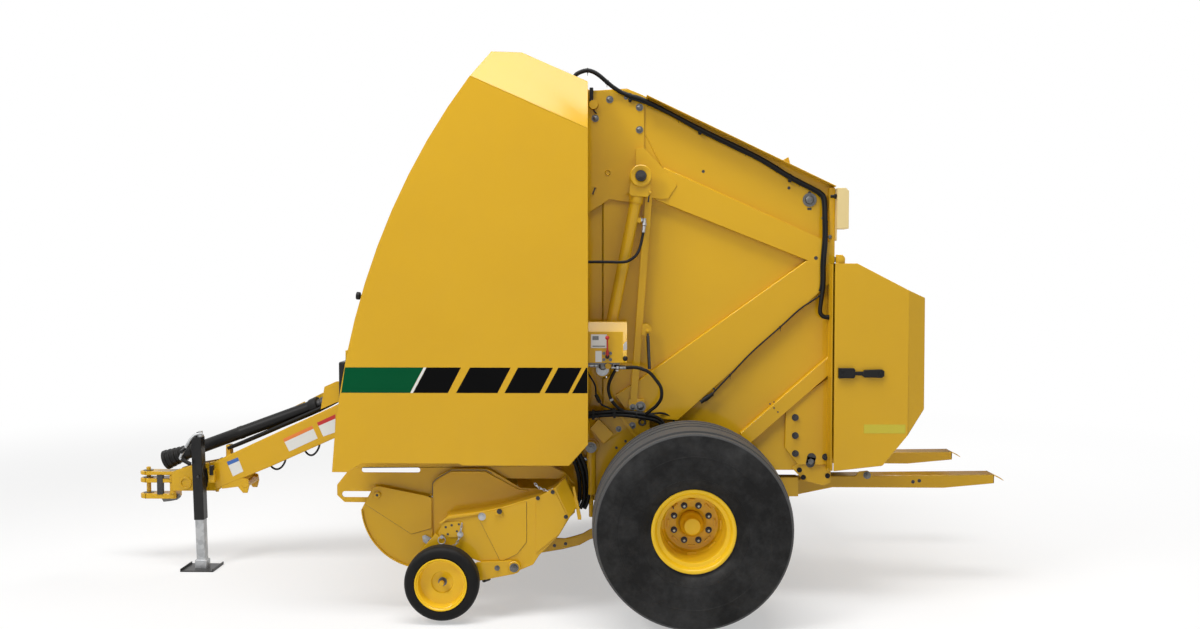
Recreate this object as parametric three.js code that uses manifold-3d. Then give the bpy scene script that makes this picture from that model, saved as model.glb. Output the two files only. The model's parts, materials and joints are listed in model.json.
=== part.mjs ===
// Round baler on two wheels and a drawbar jack. Millimetres, +X rearward, +Y to the machine's right, +Z up.
// Every piece is placed from the middle of the main axle on the ground; the last lines move the origin to
// the middle of the whole machine's box on the ground.
import * as THREE from 'three';
import { mergeVertices } from 'three/addons/utils/BufferGeometryUtils.js';
import Module from 'manifold-3d';

const wasm = await Module();
wasm.setup();

// ---- driving dimensions ----------------------------------------------------------------------------
const seatGap = 0.3;            // between pieces that rest on each other
const pinClearance = 0.8;       // round a pin in its eye
const rearReach = 1930;         // ramp tip behind the axle
const hitchReach = 3538;        // hitch tip in front of the axle

const chamberHalf = 780;        // inner face of the frame walls from the middle plane
const wallThickness = 8;
const gateRunningGap = 6;       // between the planes of the frame wall and the gate wall
const braceDepth = 36;          // how far the gate's formed braces stand out
const gatePivot = [-540, 2850];
const gatePin = 26;             // radius of the pin that the gate swings on

const tyreRadius = 540;
const tyreWidth = 540;
const beadRadius = 206;
const wheelCentre = 1120;       // middle of each tyre from the middle plane
const rimHalfWidth = 230;
const spindleRadius = 45;
const hubHalf = 70;             // inner half length of the wheel hub
const collarGap = 6;            // between the hub and the axle's collar
const wheelSegments = 28;
const axleHalf = chamberHalf + 50;
const railOut = axleHalf - 1;   // outer face of the rails that run forward from the axle
const railThickness = 12;

const doorFace = 1170;          // outer face of the side doors
const doorSheet = 5;
const doorFlange = 35;
const doorRearX = -561;
const doorTopLean = 170;        // how far the top facet leans in
const hoodHalf = 985;           // half width of the front shield
const hoodInset = 20;           // front shield behind the door's front edge
const hingePost = [-1835, 1108];
const hingePostRadius = 16;
const liftPin = [-552, 912];    // upper pin of the pickup's lift cylinder

const skirtFace = 968;          // outer face of the plates below the doors
const pickupPivot = [-700, 650];
const reelCentre = [-1500, 447];
const bandRadius = 150;
const pickupSide = 985;         // inner face of the pickup's side plates
const coverFace = 1118;         // outer face of the pickup drive cover
const gaugeHub = [-1352, 222];
const gaugeRadius = 203;
const gaugeInnerFace = 1146;
const gaugeWidth = 104;

const jackX = -3078;
const jackY = -170;
const jackTube = 64;
const jackBore = 56;
const jackLeg = jackBore - 1.4;
const jackLean = THREE.MathUtils.degToRad(1.4);

const coverHinge = [838, 1975];
const coverOverhang = 118;      // net box outside the gate's braces
const coverSheet = 6;
const rampPivot = [560, 560];
const forkInner = 340;
const forkOuter = 470;

// ---- shaping helpers -------------------------------------------------------------------------------
const paints = {
  yellow: { color: 0xd6aa23, roughness: 0.45, metalness: 0.1 },
  black: { color: 0x1d1d1e, roughness: 0.5, metalness: 0.1 },
  tyre: { color: 0x1b1b1c, roughness: 0.85, metalness: 0 },
  belt: { color: 0x242424, roughness: 0.8, metalness: 0 },
  zinc: { color: 0xa9adb0, roughness: 0.4, metalness: 0.8 },
  rod: { color: 0xc8ccd0, roughness: 0.15, metalness: 1 },
};
const paintOf = Object.fromEntries(
  Object.entries(paints).map(([name, look]) => [name, new THREE.MeshStandardMaterial(look)]));

function solidOf(geometry) {
  const bare = geometry.clone();
  bare.deleteAttribute('normal');
  bare.deleteAttribute('uv');
  const merged = mergeVertices(bare, 1e-4);
  const position = merged.attributes.position.array;
  const corners = merged.index.array;
  const triangles = [];
  for (let i = 0; i < corners.length; i += 3) {
    const [a, b, c] = [corners[i], corners[i + 1], corners[i + 2]];
    if (a !== b && b !== c && c !== a) triangles.push(a, b, c);
  }
  let volume = 0;
  for (let i = 0; i < triangles.length; i += 3) {
    const [p, q, r] = [0, 1, 2].map((k) => new THREE.Vector3().fromArray(position, triangles[i + k] * 3));
    volume += p.dot(q.cross(r));
  }
  if (volume < 0) triangles.reverse();
  return new wasm.Manifold(new wasm.Mesh({
    numProp: 3, vertProperties: new Float32Array(position), triVerts: new Uint32Array(triangles),
  }));
}

const join = (...solids) => solids.reduce((sum, piece) => sum.add(piece));
const cut = (solid, ...tools) => tools.reduce((rest, tool) => rest.subtract(tool), solid);

function mirrored(solid) {
  return solid.mirror([0, 1, 0]);
}

function sideShape(points) {
  return new THREE.Shape(points.map(([x, z]) => new THREE.Vector2(x, z)));
}

// A plate or prism: an outline in X and Z, as thick as the two Y planes say.
function prism(outline, yLow, yHigh, roundSegments = 10) {
  const shape = Array.isArray(outline) ? sideShape(outline) : outline;
  const geometry = new THREE.ExtrudeGeometry(shape, {
    depth: yHigh - yLow, bevelEnabled: false, curveSegments: roundSegments,
  });
  geometry.rotateX(Math.PI / 2);
  geometry.translate(0, yHigh, 0);
  return solidOf(geometry);
}

function block(x, y, z) {
  const geometry = new THREE.BoxGeometry(x[1] - x[0], y[1] - y[0], z[1] - z[0]);
  geometry.translate((x[0] + x[1]) / 2, (y[0] + y[1]) / 2, (z[0] + z[1]) / 2);
  return solidOf(geometry);
}

// A straight bar seen from the side, from one point to the next, with its own width.
function bar(from, to, width, yLow, yHigh) {
  const along = new THREE.Vector2(to[0] - from[0], to[1] - from[1]).normalize();
  const [nx, nz] = [-along.y * width / 2, along.x * width / 2];
  return prism([[from[0] + nx, from[1] + nz], [from[0] - nx, from[1] - nz],
    [to[0] - nx, to[1] - nz], [to[0] + nx, to[1] + nz]], yLow, yHigh);
}

// A round pin, roller or boss across the machine.
function crossRound(centre, radius, yLow, yHigh, segments = 16) {
  const geometry = new THREE.CylinderGeometry(radius, radius, yHigh - yLow, segments);
  geometry.translate(centre[0], (yLow + yHigh) / 2, centre[1]);
  return solidOf(geometry);
}

// A round bar between two points in space.
function roundBetween(from, to, radius, segments = 12) {
  const start = new THREE.Vector3(...from);
  const run = new THREE.Vector3(...to).sub(start);
  const geometry = new THREE.CylinderGeometry(radius, radius, run.length(), segments);
  geometry.translate(0, run.length() / 2, 0);
  geometry.applyQuaternion(new THREE.Quaternion().setFromUnitVectors(
    new THREE.Vector3(0, 1, 0), run.clone().normalize()));
  geometry.translate(...from);
  return solidOf(geometry);
}

// A wheel or other turned piece: [radius, distance along the axle] points that close on themselves.
function turned(profile, centre, segments = 40) {
  const loop = [...profile, profile[0]].map(([radius, along]) => new THREE.Vector2(radius, along));
  const geometry = new THREE.LatheGeometry(loop, segments);
  geometry.translate(centre[0], 0, centre[1]);
  return solidOf(geometry);
}

// A hose or cable: a round section carried along a smooth curve through its points.
function hose(points, radius, steps) {
  const path = new THREE.CatmullRomCurve3(points.map((point) => new THREE.Vector3(...point)));
  const section = new THREE.Shape().absarc(0, 0, radius, 0, Math.PI * 2);
  return solidOf(new THREE.ExtrudeGeometry(section, { steps, bevelEnabled: false, extrudePath: path,
    curveSegments: 4 }));
}

function meshOf(name, solid, paint) {
  const shell = solid.getMesh();
  const geometry = new THREE.BufferGeometry();
  geometry.setAttribute('position', new THREE.BufferAttribute(shell.vertProperties, 3));
  geometry.setIndex(new THREE.BufferAttribute(shell.triVerts, 1));
  geometry.computeVertexNormals();
  const mesh = new THREE.Mesh(geometry, paintOf[paint]);
  mesh.name = name;
  return mesh;
}

// The same outline moved inwards by a distance, corner by corner.
function inset(points, distance) {
  const turn = THREE.ShapeUtils.area(points.map(([x, z]) => new THREE.Vector2(x, z))) > 0 ? 1 : -1;
  return points.map((point, i) => {
    const before = points[(i + points.length - 1) % points.length];
    const after = points[(i + 1) % points.length];
    const inwards = ([x0, z0], [x1, z1]) => new THREE.Vector2(-(z1 - z0),
      x1 - x0).normalize().multiplyScalar(turn);
    const [n0, n1] = [inwards(before, point), inwards(point, after)];
    const scale = distance / (1 + n0.dot(n1));
    return [point[0] + (n0.x + n1.x) * scale, point[1] + (n0.y + n1.y) * scale];
  });
}

const gateWallIn = chamberHalf + wallThickness + gateRunningGap;
const gateWallOut = gateWallIn + wallThickness;
const braceOut = gateWallOut + braceDepth;
const linkPlane = braceOut + 12;        // inner face of the latch links, which clears the braces
const outriggerFace = braceOut + 18;    // outer face of the plate outside the gate's lower corner
const cylinderPlane = braceOut + 42;    // middle of the lift cylinders
const coverHalf = braceOut + coverOverhang;

// ---- front edge shared by the doors, the front shield and the frame walls -----------------------------
const frontCurve = new THREE.CubicBezierCurve(
  new THREE.Vector2(-1193, 2953), new THREE.Vector2(-1659, 2345),
  new THREE.Vector2(-1908, 1595), new THREE.Vector2(-1955, 816));

function frontEdge(behind, from = 0, to = 1, count = 11) {
  return Array.from({ length: count + 1 }, (_, i) => {
    const t = from + (to - from) * i / count;
    const point = frontCurve.getPoint(t);
    const along = frontCurve.getTangent(t);
    return [point.x - along.y * behind, point.y + along.x * behind];
  });
}

// ---- running gear ----------------------------------------------------------------------------------
const sillOut = chamberHalf - seatGap;
const sillIn = sillOut - 90;
const sillLow = tyreRadius + 70 + seatGap;
const sillHigh = sillLow + 110;

function tyre() {
  const shoulder = tyreWidth / 2;
  return turned([
    [beadRadius, 30 - rimHalfWidth], [beadRadius + 34, 18 - rimHalfWidth], [400, -shoulder],
    [505, 30 - shoulder], [tyreRadius, 110 - shoulder], [tyreRadius, shoulder - 110], [505, shoulder - 30],
    [400, shoulder], [beadRadius + 34, rimHalfWidth - 18], [beadRadius, rimHalfWidth - 30]],
  [0, tyreRadius], wheelSegments);
}

function rim() {
  const seat = beadRadius - seatGap;
  const lip = 224;
  const bore = spindleRadius + pinClearance;
  return turned([
    [seat, 30 - rimHalfWidth], [lip, 17 - rimHalfWidth], [lip, -rimHalfWidth], [seat - 10, -rimHalfWidth],
    [164, -110], [164, -12], [84, -24], [84, -hubHalf], [bore, -hubHalf], [bore, 60], [66, 60],
      [110, 14], [164, 14],
    [seat - 10, rimHalfWidth], [lip, rimHalfWidth], [lip, rimHalfWidth - 17], [seat, rimHalfWidth - 30]],
  [0, tyreRadius], wheelSegments);
}

function axle() {
  const beam = block([-70, 70], [-axleHalf, axleHalf], [tyreRadius - 70, tyreRadius + 70]);
  const spindles = crossRound([0, tyreRadius], spindleRadius, -wheelCentre - 64, wheelCentre + 64);
  const collarEnd = wheelCentre - hubHalf - collarGap;
  const collar = crossRound([0, tyreRadius], 84, axleHalf - 1, collarEnd);
  const rail = prism([[-900, 350], [-756, 374], [-704, 372], [-646, 387], [-600, 402], [-564, 424],
    [-300, 520], [-60, 585], [-60, 495], [-300, 440], [-561, 366], [-620, 333], [-720, 308], [-848, 286],
    [-900, 278]], -railOut, -railOut + railThickness);
  return join(beam, spindles, collar, mirrored(collar), rail, mirrored(rail));
}

// ---- frame -----------------------------------------------------------------------------------------
const tongueHalf = 100;
const tongueEndX = -1620;
const crossLow = 850;
const crossHigh = 1049;
const crossDepth = 120;

function tongue() {
  const beam = prism([[-3022, 673], [-2215, crossHigh], [tongueEndX - seatGap, crossHigh],
    [tongueEndX - seatGap, crossLow], [-2212, crossLow - 10], [-2650, 645], [-3008, 498]], -tongueHalf,
      tongueHalf);
  const lugs = [-1, 1].map((side) => prism([[-3310, 478], [-3310, 590], [-3285, 612], [-3200, 640],
    [-3021, 672], [-2900, 700], [-2900, 560], [-3008, 480]], side > 0 ? 50 : -70, side > 0 ? 70 : -50));
  const nose = block([-3060, -3000], [-69, 69], [500, 660]);
  const shaftRest = block([-2965, -2935], [-30, 30], [690, shaftHeight(-2965) - 43 - seatGap]);
  return join(beam, ...lugs, nose, shaftRest);
}

function hitchClevis() {
  const tang = block([-3310, -3090], [-50 + seatGap, 50 - seatGap], [500, 600]);
  const heel = block([-3330, -3290], [-50 + seatGap, 50 - seatGap], [423, 600]);
  const plates = [[578, 601], [528, 556], [423, 455]].map((z) => block([-3490, -3300], [-50, 50], z));
  const noses = [[578, 601], [528, 556], [423, 455]].map((z) => {
    const disc = new THREE.CylinderGeometry(50, 50, z[1] - z[0], 16);
    disc.rotateX(Math.PI / 2);
    disc.translate(-hitchReach + 50, 0, (z[0] + z[1]) / 2);
    return solidOf(disc);
  });
  const pin = roundBetween([-3488, 0, 415], [-3488, 0, 625], 14);
  return join(tang, heel, ...plates, ...noses, pin);
}

const shaftFront = [-3375, 668];
const shaftRear = [-2195, 1101];
const shaftSlope = (shaftRear[1] - shaftFront[1]) / (shaftRear[0] - shaftFront[0]);

function shaftHeight(x) {
  return shaftFront[1] + shaftSlope * (x - shaftFront[0]);
}

function ptoDriveline() {
  const bell = roundBetween([shaftFront[0], 0, shaftFront[1]], [-3195, 0, shaftHeight(-3195)], 62, 16);
  const guard = roundBetween([-3200, 0, shaftHeight(-3200)], [-2380, 0, shaftHeight(-2380)], 40, 16);
  const yoke = roundBetween([-2382, 0, shaftHeight(-2382)], [-2212 - seatGap, 0,
    shaftHeight(-2212 - seatGap)], 28);
  return join(bell, guard, yoke);
}

function gearbox() {
  const housing = block([-2190, -1930], [-140, 140], [crossHigh + seatGap, crossHigh + 280]);
  return join(housing, roundBetween([-2212, 0, shaftHeight(-2212)], [-2160, 0, shaftHeight(-2160)], 26));
}

function frontCrossmember() {
  return block([tongueEndX, tongueEndX + crossDepth], [-(skirtFace - 8 - seatGap), skirtFace - 8 - seatGap],
    [crossLow, crossHigh]);
}

const shieldLine = [[-600, 2960], [-930, 3096], [-1080, 3094], ...frontEdge(hoodInset, 0.02, 0.72, 9)];

function frontShield() {
  const behind = inset([...shieldLine, [-600, 1300]], 4).slice(0, shieldLine.length);
  return prism([...shieldLine, ...behind.reverse()], -hoodHalf, hoodHalf);
}

function frameWall() {
  const under = inset([...shieldLine, [-600, 1300]], 4 + seatGap).slice(0, shieldLine.length);
  const plate = prism([...under, [-1760, 1200], [-1700, 900], [-1400, 760], [-900, 700], [-860, 620],
    [-490, 620], [-490, 2300], [-470, 2340], [-470, 2900]], -chamberHalf - wallThickness, -chamberHalf);
  const crossHole = block([tongueEndX - seatGap, tongueEndX + crossDepth + seatGap], [-1000, 0],
    [crossLow - seatGap, crossHigh + seatGap]);
  const skirtPost = crossRound([-780, 830], 30, -(skirtFace - 8 - seatGap), -chamberHalf - 1);
  const cylinderPin = join(crossRound(cylinderFoot, 38, -braceOut - 2, -chamberHalf - 1),
    crossRound(cylinderFoot, 20, -cylinderPlane - 50, -braceOut - 1));
  const hingeArms = [1090, 1510].map((z) => join(
    block([hingePost[0] - 8, -1560], [-hingePost[1], -hingePost[1] + 24], [z - 20, z + 20]),
    block([-1600, -1560], [-hingePost[1] + 1, -chamberHalf - 1], [z - 20, z + 20])));
  const post = roundBetween([hingePost[0], -hingePost[1], 1060], [hingePost[0], -hingePost[1], 1540],
    hingePostRadius, 16);
  const pickupPin = crossRound(pickupPivot, 20, 1 - pickupSide - pickupPlate, -chamberHalf - 1);
  return join(cut(plate, crossHole), skirtPost, cylinderPin, ...hingeArms, post, pickupPin, outrigger(),
    liftCylinder(), crossRound(gatePivot, gatePin, -gateWallOut - 34, -chamberHalf - 1));
}

// The plate outside the gate's lower corner, its web to the wall and the folded bracket on it.
function outrigger() {
  const plate = prism([[-720, 1085], [-600, 1096], [-400, 1104], [-236, 1104], [-222, 1075], [-215, 960],
    [-330, 850], [-420, 710], [-455, 600], [-720, 600]], -outriggerFace, -outriggerFace + 8);
  const web = block([-712, -704], [1 - outriggerFace, -chamberHalf - 1], [620, 1080]);
  const bracket = prism([[-510, 1072], [-426, 985], [-480, 930], [-558, 1017]], -outriggerFace - 34,
    1 - outriggerFace);
  return join(plate, web, bracket);
}

function liftCylinder() {
  const [x, z] = liftPin;
  const middle = -outriggerFace - 29;
  const boss = crossRound(liftPin, 46, -outriggerFace - 8, 1 - outriggerFace);
  const pin = crossRound(liftPin, 18, middle - 24, -outriggerFace);
  const eye = crossRound(liftPin, 32, middle - 16, middle + 16);
  const barrel = roundBetween([x, middle, z - 20], [x, middle, z - 270], 26);
  const rod = roundBetween([x, middle, z - 260], [x, middle, z - 400], 13);
  return join(boss, pin, eye, barrel, rod);
}

function sill() {
  const beam = block([-980, 640], [-sillOut, -sillIn], [sillLow, sillHigh]);
  const rampPin = crossRound(rampPivot, 20, -sillIn - 1, -forkOuter - 10);
  const rampEar = block([rampPivot[0] - 40, rampPivot[0] + 40], [-sillIn - 20, -sillIn + 1],
    [rampPivot[1] - 40, sillLow + 30]);
  return join(beam, rampPin, rampEar);
}

function skirt() {
  const outline = sideShape([[-1982, 706], [-1982, 648], [-1941, 608], [-1816, 607], [-1470, 640],
    [-1420, 690], [-1300, 745], [-700, 745], [-640, 715], [-695, 778], [-770, 812], [-770, 960],
    [-1625, 960], [-1640, 806], [-1880, 806], [-1924, 779]]);
  const slot = (from, to, low, high) => join(block([from, to], [-1000, -900], [low, high]),
    crossRound([from, (low + high) / 2], (high - low) / 2, -1000, -900),
    crossRound([to, (low + high) / 2], (high - low) / 2, -1000, -900));
  return cut(prism(outline, -skirtFace, -skirtFace + 8), slot(-1828, -1525, 777, 805),
    slot(-1937, -1700, 636, 670));
}

// ---- side doors ------------------------------------------------------------------------------------
const bendFront = [-1193, 2953];
const bendRear = [doorRearX, 2672];

function sideDoor() {
  const outline = [...frontEdge(0), [-1873, 816], [-1793, 865], [-1264, 865], [-1240, 855], [-664, 855],
    [doorRearX, 971], bendRear];
  const sheet = prism(outline, -doorFace, -doorFace + doorSheet);
  const flange = cut(prism(outline, -doorFace + doorSheet - 1, -doorFace + doorFlange),
    prism(inset(outline, doorSheet), -doorFace + doorSheet - 1, -doorFace + doorFlange + 1));
  const bendSlope = (bendFront[1] - bendRear[1]) / (bendFront[0] - bendRear[0]);
  const above = (x, z) => z - bendFront[1] - bendSlope * (x - bendFront[0]);
  const facetGeometry = new THREE.ExtrudeGeometry(sideShape([[-1193, 2951], [-1091, 3106], [-929, 3109],
    [-566, 2950], [doorRearX, 2670]]), { depth: doorSheet, bevelEnabled: false });
  facetGeometry.rotateX(Math.PI / 2);
  facetGeometry.translate(0, -doorFace + doorSheet, 0);
  const place = facetGeometry.attributes.position;
  for (let i = 0; i < place.count; i += 1) {
    const rise = above(place.getX(i), place.getZ(i));
    place.setY(i, place.getY(i) + Math.max(0, rise) * doorTopLean / 278);
  }
  const knuckles = [1160, 1450].map((z) => {
    const plate = block([hingePost[0] - 40, hingePost[0] + 60], [-doorFace + 1, -hingePost[1] + 40],
      [z - 30, z + 30]);
    return cut(plate, roundBetween([hingePost[0], -hingePost[1], z - 40],
      [hingePost[0], -hingePost[1], z + 40], hingePostRadius + pinClearance, 20));
  });
  return join(sheet, flange, solidOf(facetGeometry), ...knuckles);
}

// ---- gate ------------------------------------------------------------------------------------------
const cylinderFoot = [-488, 1354];
const cylinderHead = [-273, 2436];
const cylinderPort = 858;       // along the barrel from the foot
const cylinderPortEnd = -270;

function gateWall() {
  const plate = prism([[-571, 2932], [-350, 2945], [-267, 2910], [825, 2386], [825, 768], [-420, 768],
    [-484, 860], [-484, 1290], [-438, 1310], [-438, 1400], [-484, 1420], [-484, 2318], [-571, 2239]],
    -gateWallOut, -gateWallIn);
  const flange = prism([[-240, 2897], [823, 2387], [823, 2382], [-240, 2892]], -gateWallOut - 78,
    -gateWallOut + 1);
  return join(cut(plate, crossRound(gatePivot, gatePin + pinClearance, -gateWallOut - 1, -gateWallIn + 1)),
    flange);
}

function gateBracing() {
  const base = -gateWallOut - seatGap;
  const hingePlate = cut(prism([[-571, 2932], [-350, 2937], [-252, 2864], [-252, 2549], [-152, 2447],
    [-66, 2348], [-119, 2266], [-191, 2278], [-449, 2318], [-571, 2239]], base - 10, base),
  crossRound(gatePivot, gatePin + pinClearance, base - 11, base + 1));
  const upper = prism([[-140, 2496], [-190, 2314], [800, 1919], [800, 2068]], -braceOut, base);
  const lower = prism([[665, 1968], [-239, 1319], [-413, 1200], [-330, 1080], [-59, 1058], [68, 1175],
    [800, 1843], [800, 1975]], -braceOut, base);
  const third = prism([[800, 1430], [299, 987], [330, 905], [800, 1321]], -braceOut, base);
  const post = block([793, 825], [-braceOut, base], [770, 2380]);
  const sideFlange = block([793, 799], [-coverHalf + 16, base], [790, 1950]);
  const cornerPlate = prism([[559, 1125], [555, 899], [629, 803], [797, 803], [797, 1300]], base - 20,
    base);
  const pinBoss = crossRound(cylinderHead, 60, base - 44, base);
  const linkPost = crossRound([-228, 2330], 14, -linkPlane + seatGap, base);
  return join(hingePlate, upper, lower, third, post, sideFlange, cornerPlate, pinBoss, linkPost);
}

function latchLink() {
  const outer = -linkPlane - 12;
  const strap = bar([-226, 2350], [-311, 1175], 40, outer, -linkPlane);
  const foot = block([-340, -250], [outer, -braceOut - seatGap], [1110, 1180]);
  return join(strap, foot);
}

function crossTube(centre, size, half) {
  return block([centre[0] - size[0] / 2, centre[0] + size[0] / 2], [-half, half],
    [centre[1] - size[1] / 2, centre[1] + size[1] / 2]);
}

const beltMargin = 20;          // between the outer belts and the frame walls

// Belts run as a closed loop round their rollers, which reach the walls on both sides.
function beltLoop(outline, rollers, half, rollerHalf) {
  const room = inset(outline, 8);
  const belts = Array.from({ length: 6 }, (_, i) => {
    const low = (i - 3) * half / 3 + 12;
    const high = (i - 2) * half / 3 - 12;
    return cut(prism(outline, low, high), prism(room, low - 1, high + 1));
  });
  const turning = rollers.map(([x, z, radius]) => crossRound([x, z], radius, -rollerHalf, rollerHalf, 16));
  return join(...belts, ...turning);
}

function frontBelts() {
  return beltLoop([[-640, 2790], [-680, 2870], [-760, 2870], [-1290, 2150], [-1500, 1200], [-1470, 1110],
    [-1380, 1110], [-1350, 1180], [-1180, 2090]], [[-710, 2800, 68], [-1425, 1180, 72]],
    chamberHalf - beltMargin, chamberHalf - seatGap);
}

function gateBelts() {
  return beltLoop([[-380, 2770], [-330, 2850], [-250, 2840], [690, 2390], [745, 2300], [745, 920],
    [700, 880], [590, 900], [600, 2180], [-300, 2690]], [[-320, 2780, 66], [670, 2310, 70],
    [660, 950, 76]], chamberHalf - beltMargin, gateWallIn - seatGap);
}

// ---- net box and lamps -----------------------------------------------------------------------------
const coverLine = [[805, 1952], [928, 1952], [1214, 1803], [1314, 1760], [1316, 1135], [1215, 990],
  [1079, 822], [805, 790]];

function netCover() {
  const shell = prism(coverLine, -coverHalf, coverHalf);
  const room = prism([[700, 1900], [845, 1946], [926, 1946], [1211, 1797], [1308, 1756], [1310, 1137],
    [1210, 994], [1072, 822], [1060, 700], [700, 700]], -coverHalf + coverSheet, coverHalf - coverSheet);
  const doorway = block([700, 840], [-coverHalf + coverSheet, coverHalf - coverSheet], [700, 2000]);
  const ears = [-1, 1].map((side) => block([812, 850], side > 0 ? [coverHalf - 30, coverHalf - 6]
    : [-coverHalf + 6, -coverHalf + 30], [1940, 2000]));
  const eyes = crossRound(coverHinge, 10 + pinClearance, -coverHalf, coverHalf);
  return cut(join(cut(shell, room, doorway), ...ears), eyes);
}

function coverHingePin() {
  const pin = crossRound(coverHinge, 10, -coverHalf + 2, coverHalf - 2);
  const brackets = [-1, 1].map((side) => block([825 + seatGap, 852],
    side > 0 ? [gateWallOut + 4, gateWallOut + 58]
    : [-gateWallOut - 58, -gateWallOut - 4],
    [1960, 1990]));
  return join(pin, ...brackets);
}

function lampBox() {
  return block([825 + seatGap, 892], [-gateWallIn - 106, -gateWallIn + 24], [2144, 2376]);
}

// ---- bale ramp -------------------------------------------------------------------------------------
function baleRamp() {
  const tube = crossRound(rampPivot, 34, -forkOuter - 58, forkOuter + 58);
  const forks = [-1, 1].map((side) => {
    const outline = [[525, 560], [560, 530], [900, 600], [1570, 599], [1870, 628], [rearReach, 649],
      [1900, 668], [1870, 682], [900, 670], [600, 640]];
    return prism(outline, side > 0 ? forkInner : -forkOuter, side > 0 ? forkOuter : -forkInner);
  });
  return cut(join(tube, ...forks), crossRound(rampPivot, 20 + pinClearance, -700, 700));
}

// ---- gate cylinders --------------------------------------------------------------------------------
const cylinderRun = new THREE.Vector2(cylinderHead[0] - cylinderFoot[0], cylinderHead[1] - cylinderFoot[1]);
const cylinderAlong = (distance) => {
  const unit = cylinderRun.clone().normalize();
  return [cylinderFoot[0] + unit.x * distance, cylinderFoot[1] + unit.y * distance];
};

function cylinderBarrel() {
  const start = cylinderAlong(45);
  const end = cylinderAlong(940);
  const tube = roundBetween([start[0], -cylinderPlane, start[1]], [end[0], -cylinderPlane, end[1]], 32.5,
    12);
  const boreStart = cylinderAlong(80);
  const boreEnd = cylinderAlong(950);
  const bore = roundBetween([boreStart[0], -cylinderPlane, boreStart[1]], [boreEnd[0],
    -cylinderPlane, boreEnd[1]], 19 + pinClearance, 12);
  const eye = cut(crossRound(cylinderFoot, 46, -cylinderPlane - 22, -cylinderPlane + 22),
    crossRound(cylinderFoot, 20 + pinClearance, -cylinderPlane - 30, -cylinderPlane + 30));
  const portMiddle = cylinderAlong(cylinderPort);
  const port = roundBetween([portMiddle[0] + 24, -cylinderPlane, portMiddle[1]],
    [cylinderPortEnd, -cylinderPlane, portMiddle[1]], 10, 8);
  return cut(join(tube, eye, port), bore);
}

function cylinderRod() {
  const start = cylinderAlong(100);
  const end = cylinderAlong(cylinderRun.length() - 40);
  const rod = roundBetween([start[0], -cylinderPlane, start[1]], [end[0], -cylinderPlane, end[1]], 19, 12);
  const eye = crossRound(cylinderHead, 46, -cylinderPlane - 26, -cylinderPlane + 26);
  const pinHead = crossRound(cylinderHead, 24, -cylinderPlane - 60, -cylinderPlane);
  return join(rod, eye, pinHead);
}

// ---- pickup ----------------------------------------------------------------------------------------
const pickupPlate = 8;
const bandCount = 9;
const bandPitch = 208;
const bandGap = 40;
const reelHalf = pickupSide - 55;

function pickupSidePlate() {
  const plate = prism([[-1620, 560], [-1560, 440], [-1520, 380], [-1180, 300], [-960, 262], [-640, 560],
    [-640, 690], [-760, 690], [-942, 697], [-1096, 789], [-1132, 805], [-1329, 804], [-1406, 763],
    [-1437, 732], [-1437, 640]], -pickupSide - pickupPlate, -pickupSide);
  return cut(plate, crossRound(pickupPivot, 20 + pinClearance, -pickupSide - 20, -pickupSide + 20),
    crossRound(reelCentre, 25 + pinClearance, -pickupSide - 20, -pickupSide + 20));
}

function pickupShield() {
  const centre = [-1480, 600];
  const radius = 358;
  const rimArc = Array.from({ length: 15 }, (_, i) => {
    const angle = THREE.MathUtils.degToRad(184 + (268 - 184) * i / 14);
    return [centre[0] + radius * Math.cos(angle), centre[1] + radius * Math.sin(angle)];
  });
  const outline = [[-1768, 705], ...rimArc, [-1437, 300], [-1437, 640]];
  return prism(outline, -pickupSide - pickupPlate - seatGap - 6, -pickupSide - pickupPlate - seatGap);
}

function pickupFrame() {
  const tube = crossTube([-1060, 560], [90, 90], pickupSide - seatGap);
  const bands = Array.from({ length: bandCount }, (_, i) => {
    const middle = (i - (bandCount - 1) / 2) * bandPitch;
    const arcOf = (radius, from, to) => Array.from({ length: 7 }, (_, k) => {
      const angle = THREE.MathUtils.degToRad(from + (to - from) * k / 6);
      return [reelCentre[0] + radius * Math.cos(angle), reelCentre[1] + radius * Math.sin(angle)];
    });
    const outline = [[-1106, 600], ...arcOf(bandRadius, 80, 280), [-1106, 520], [-1106, 528],
      ...arcOf(bandRadius - 5, 280, 80), [-1106, 592]];
    return prism(outline, middle - (bandPitch - bandGap) / 2, middle + (bandPitch - bandGap) / 2);
  });
  const spine = block([-1112, -1104], [-reelHalf - 2, reelHalf + 2], [516, 604]);
  return join(tube, ...bands, spine);
}

function pickupReel() {
  const shaft = crossRound(reelCentre, 25, -pickupSide - 6, pickupSide + 6, 12);
  const core = crossRound(reelCentre, 60, -reelHalf, reelHalf, 12);
  const bars = Array.from({ length: 4 }, (_, k) => {
    const angle = Math.PI / 4 + k * Math.PI / 2;
    const at = [reelCentre[0] + 110 * Math.cos(angle), reelCentre[1] + 110 * Math.sin(angle)];
    return crossRound(at, 14, -reelHalf, reelHalf, 8);
  });
  const webs = [30 - reelHalf, reelHalf - 30].map((y) => crossRound(reelCentre, 118, y - 4, y + 4, 12));
  return join(shaft, core, ...bars, ...webs);
}

function pickupDriveCover() {
  return prism([[-1384, 440], [-1384, 480], [-1350, 550], [-1330, 568], [-1270, 575], [-1143, 594],
    [-1047, 613], [-907, 656], [-834, 677], [-742, 726], [-690, 773], [-619, 620], [-664, 559],
    [-722, 461], [-830, 352], [-864, 299], [-953, 261], [-1010, 262], [-1200, 330]],
    -coverFace, -pickupSide - pickupPlate - seatGap);
}

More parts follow.
